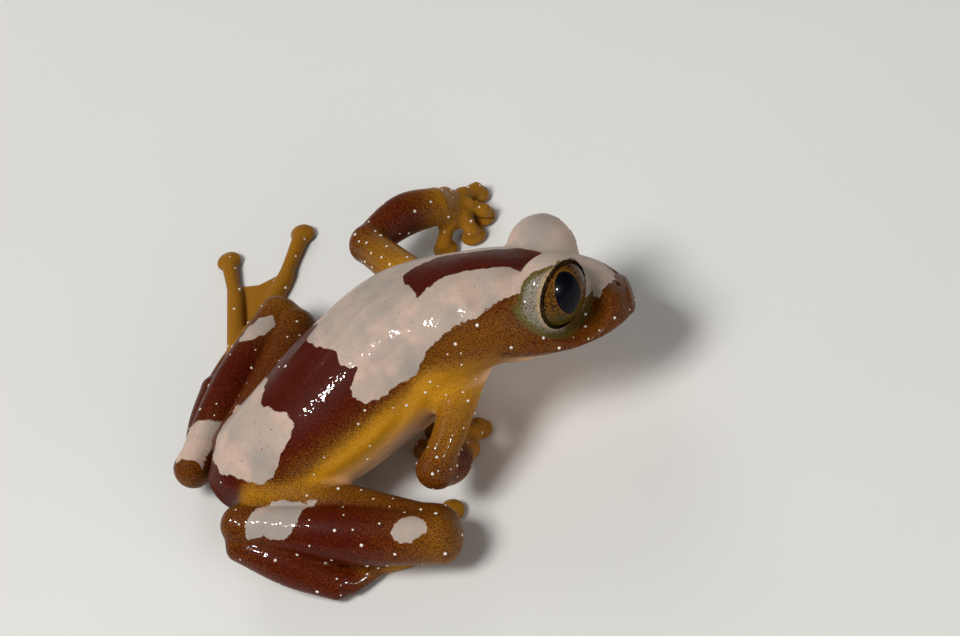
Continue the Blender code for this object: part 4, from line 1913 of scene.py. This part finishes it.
@dataclass(frozen=True)
class Eyeball:
    """One eyeball, painted through values kept at its points."""

    eye: EyeOpening
    gaze: tuple[float, float, float] = (0.523, 0.838, 0.156)
    pupil: tuple[float, float] = (0.94, 1.36)
    rings: int = 72
    sides: int = 96
    end: float = 0.01

    def surface(self) -> tuple[np.ndarray, np.ndarray]:
        """The ball's surface.

        Returns:
            Its points, from the middle of the pupil backwards, and its faces.
        """
        lean, turn = np.meshgrid(
            np.linspace(self.end, math.pi - self.end, self.rings),
            np.linspace(0, 2 * math.pi, self.sides, endpoint=False),
            indexing="ij",
        )
        across = np.sin(lean) * np.cos(turn)
        above = np.sin(lean) * np.sin(turn)
        place = np.stack([np.cos(lean), across, above], axis=-1).reshape(-1, 3)
        offset = place @ self._axes() * self.eye.ball
        out = np.outer(offset @ self.eye.direction, self.eye.direction)
        points = self.eye.centre + offset - (1 - self.eye.flat) * out
        return points, ball_faces(self.rings, self.sides)

    def _axes(self) -> np.ndarray:
        """The way that the pupil looks, then left and up as the eye is turned.

        Returns:
            The three directions, as rows.
        """
        forward = unit(np.array(self.gaze) * (1, self.eye.side.value, 1) @ HEAD.axes())
        left = unit(np.cross(HEAD.axes()[2], forward))
        return np.array([forward, left, np.cross(forward, left)])

    def paint(self, points: np.ndarray) -> dict[str, np.ndarray]:
        """What the eye's material reads at each point.

        Args:
            points: The ball's points.

        Returns:
            How far each is inside the pupil and inside the lid's edge, and how low it is.
        """
        forward, left, up = self._axes()
        out = np.outer(self.eye.height(points), self.eye.direction)
        offset = points - self.eye.centre + (1 / self.eye.flat - 1) * out
        across, above = offset @ left, offset @ up
        wide, high = self.pupil
        pointed = np.where(above < 0, 1.0 + 0.35 * np.minimum(-above / high, 1) ** 3, 1.0)
        size = np.hypot(across * pointed / wide, above / high)
        pupil = np.where(offset @ forward > 0, (1 - size) * wide, -1.5)
        reach = np.arctan2(self.eye.radius(points), self.eye.height(points))
        edge = (math.atan2(self.eye.throat, self.eye.rim_height) - reach) * self.eye.ball
        return {
            "pupil": np.clip(pupil, -1.5, 1.5),
            "edge": np.clip(edge, -1.0, 2.5),
            "low": -above / self.eye.ball,
        }

    def build(self, cornea: bpy.types.Material) -> None:
        """Builds the eyeball and dresses it.

        Args:
            cornea: The eyeballs' material.
        """
        side = self.eye.side.name.lower()
        points, faces = self.surface()
        piece = built(f"eyeball_{side}", points, faces)
        keep(piece, self.paint(points))
        dress(piece, cornea, [f"eye_{side}"])


@dataclass(frozen=True)
class Spots:
    """The small raised white spots that are scattered over the flanks, lips and limbs."""

    count: int = 340
    tries: int = 9
    spacing: float = 0.62
    small: float = 0.055
    large: float = 0.12
    flat: float = 0.55
    rings: int = 6
    sides: int = 10
    end: float = 0.06
    seed: int = 7
    # How likely spots are in each region
    on_back: float = 0.04
    on_flank: float = 0.5
    on_cheek: float = 0.55
    on_lip: float = 3.5
    on_limb: float = 0.5
    on_amber: float = 0.2
    # How far above the mouth's line the row on the lip runs, and how wide it is
    lip_row: tuple[float, float] = (0.5, 0.25)
    # How far spots stay from the pale patches, the eyes and the floor, and the bare throat
    from_pale: float = 0.3
    from_eye: float = 0.5
    from_floor: float = 0.6
    bare: tuple[float, float] = (-1.9, 0.15)

    def density(self, look: Colouring, values: dict[str, np.ndarray]) -> np.ndarray:
        """How likely a spot is at each point.

        Args:
            look: What the skin is like.
            values: The same, as the values kept at the skin's points.

        Returns:
            The likelihood, of no fixed sum.
        """
        trunk = smooth_step(4.6, 6.0, np.abs(look.spine.around)) * (1 - look.head)
        trunk = self.on_back + self.on_flank * trunk * smooth_step(3.0, 7.0, look.spine.along)
        cheek = self.on_cheek * (look.head * smooth_step(2.6, 3.6, np.abs(look.spine.around)))
        mouth = values["mouth"]
        middle, wide = self.lip_row
        lip = self.on_lip * (look.head * np.exp(-(((mouth - middle) / wide) ** 2)))
        limb = self.on_limb * smooth_step(0.3, 0.0, look.limb_distance)
        likely = np.maximum.reduce([trunk, cheek, lip, limb, self.on_amber * values["amber"]])
        likely[values["pale"] > -self.from_pale] = 0
        likely[values["rim"] < self.from_eye] = 0
        low, high = self.bare
        likely[(mouth < high) & (look.head > 0.5) & (mouth > low)] = 0
        likely[look.points[:, 2] < self.from_floor] = 0
        return likely * (1 - values["belly"])

    def places(self, look: Colouring, values: dict[str, np.ndarray]) -> np.ndarray:
        """Draws lots for the spots, and keeps those that aren't too close together.

        Args:
            look: What the skin is like.
            values: The same, as the values kept at the skin's points.

        Returns:
            The numbers of the skin's points that carry a spot.
        """
        rng = np.random.default_rng(self.seed)
        likely = self.density(look, values)
        tries = rng.choice(len(likely), self.tries * self.count, p=likely / likely.sum())
        kept: list[int] = []
        spread = rng.uniform(0.8, 1.9, len(tries)) * self.spacing
        for index, room in zip(tries, spread):
            away = np.linalg.norm(look.points[kept] - look.points[index], axis=1)
            if len(kept) < self.count and (not kept or away.min() > room):
                kept.append(int(index))
        return np.array(kept)

    def surface(self, points: np.ndarray, facing: np.ndarray) -> tuple[np.ndarray, np.ndarray]:
        """Low domes at these points.

        Args:
            points: Where the spots are.
            facing: The skin's outward direction at each.

        Returns:
            The points, and the faces, of all the domes.
        """
        rng = np.random.default_rng(self.seed + 1)
        lean = np.linspace(self.end, math.pi - self.end, self.rings)[:, None]
        turn = np.linspace(0, 2 * math.pi, self.sides, endpoint=False)[None, :]
        across, above = (np.sin(lean) * wave(turn) for wave in (np.cos, np.sin))
        rise = np.repeat(np.cos(lean), self.sides, axis=1).ravel() * self.flat
        faces = ball_faces(self.rings, self.sides)
        made, joined = [], []
        for index, (point, out) in enumerate(zip(points, facing)):
            side = unit(np.cross(out, (0.31, 0.52, 0.79)))
            size = self.small + (self.large - self.small) * rng.random() ** 1.6
            place = np.outer(across.ravel(), side) + np.outer(above.ravel(), np.cross(out, side))
            made.append(point + (place + np.outer(rise, out)) * size)
            joined.append(faces + index * self.rings * self.sides)
        return np.concatenate(made), np.concatenate(joined)

    def build(self, hide: Hide) -> None:
        """Builds the spots on the skin and dresses them.

        Args:
            hide: The skin.
        """
        where = self.places(hide.look, hide.values)
        domes = built("white_spots", *self.surface(hide.points[where], hide.facing[where]))
        dress(domes, HornySpot().material(), [])


class Shine(Enum):
    """What a lamp does: it lights the skin, or it shows in the skin's wet film."""

    LIGHT = (True, False)
    GLINT = (False, True)


@dataclass(frozen=True)
class Lamp:
    """A soft square light, aimed at the frog. Its place and size are in metres."""

    name: str
    place: tuple[float, float, float]
    size: float
    power: float
    shine: Shine = Shine.LIGHT

    def light(self) -> None:
        """Adds the light."""
        lamp = bpy.data.lights.new(self.name, "AREA")
        lamp.size = self.size
        lamp.energy = self.power
        obj = bpy.data.objects.new(self.name, lamp)
        obj.visible_diffuse, obj.visible_glossy = self.shine.value
        obj.location = self.place
        obj.rotation_euler = (-Vector(self.place)).to_track_quat("-Z", "Y").to_euler()
        bpy.context.scene.collection.objects.link(obj)


@dataclass(frozen=True)
class Studio:
    """The floor, the lights and the camera, which looks at the frog as the photo does."""

    floor: float = 600.0
    sky: str = "#E8ECF0"
    sky_strength: float = 0.14
    eye: tuple[float, float, float] = (10.80254, -125.92211, 146.64413)
    right: tuple[float, float, float] = (0.89023522, -0.36525364, -0.27215994)
    up: tuple[float, float, float] = (0.45310328, 0.64887031, 0.61128123)
    lens: float = 114.0
    lamps: tuple[Lamp, ...] = (
        Lamp("key_light", (-0.18, -0.07, 0.34), 0.14, 1.35),
        Lamp("fill_light", (0.14, -0.34, 0.12), 0.22, 0.45),
        Lamp("back_light", (0.02, 0.36, 0.24), 0.20, 0.4),
        Lamp("flash_light", (-0.22, 0.03, 0.36), 0.025, 1.5, Shine.GLINT),
        Lamp("eye_light", (0.16, -0.32, 0.22), 0.026, 1.0, Shine.GLINT),
    )

    def build(self) -> None:
        """Makes the whole studio."""
        half = self.floor / 2
        corners = np.array([(-half, -half, 0), (half, -half, 0), (half, half, 0), (-half, half, 0)])
        floor = built("floor", corners + np.array(CENTRE), np.array([[0, 1, 2, 3]]))
        floor.data.materials.append(StudioPaper().material())
        for lamp in self.lamps:
            lamp.light()
        world = bpy.data.worlds.new("soft_daylight")
        world.use_nodes = True
        background = world.node_tree.nodes["Background"]
        background.inputs["Color"].default_value = linear(self.sky)
        background.inputs["Strength"].default_value = self.sky_strength
        bpy.context.scene.world = world
        self._camera()

    def _camera(self) -> None:
        """Adds the camera at the photo's viewing angle."""
        bpy.context.scene.view_settings.view_transform = "Standard"
        camera = bpy.data.cameras.new("camera")
        camera.lens = self.lens
        camera.clip_start = MM
        obj = bpy.data.objects.new("camera", camera)
        right, up = Vector(self.right), Vector(self.up)
        turned = Matrix((right, up, right.cross(up))).transposed().to_4x4()
        place = (Vector(self.eye) - Vector(CENTRE)) * MM
        obj.matrix_world = Matrix.Translation(place) @ turned
        bpy.context.scene.collection.objects.link(obj)
        bpy.context.scene.camera = obj


def main() -> None:
    """Builds the frog, its eyes, its spots and the studio."""
    logging.basicConfig(level=logging.INFO, format="%(message)s")
    flesh = Flesh(FINE_STEP)
    flesh.sculpt()
    hide = Hide(flesh)
    hide.build()
    cornea = WetCornea().material()
    for eye in flesh.eyes.values():
        Eyeball(eye).build(cornea)
    Spots().build(hide)
    Studio().build()


if __name__ == "__main__":
    main()
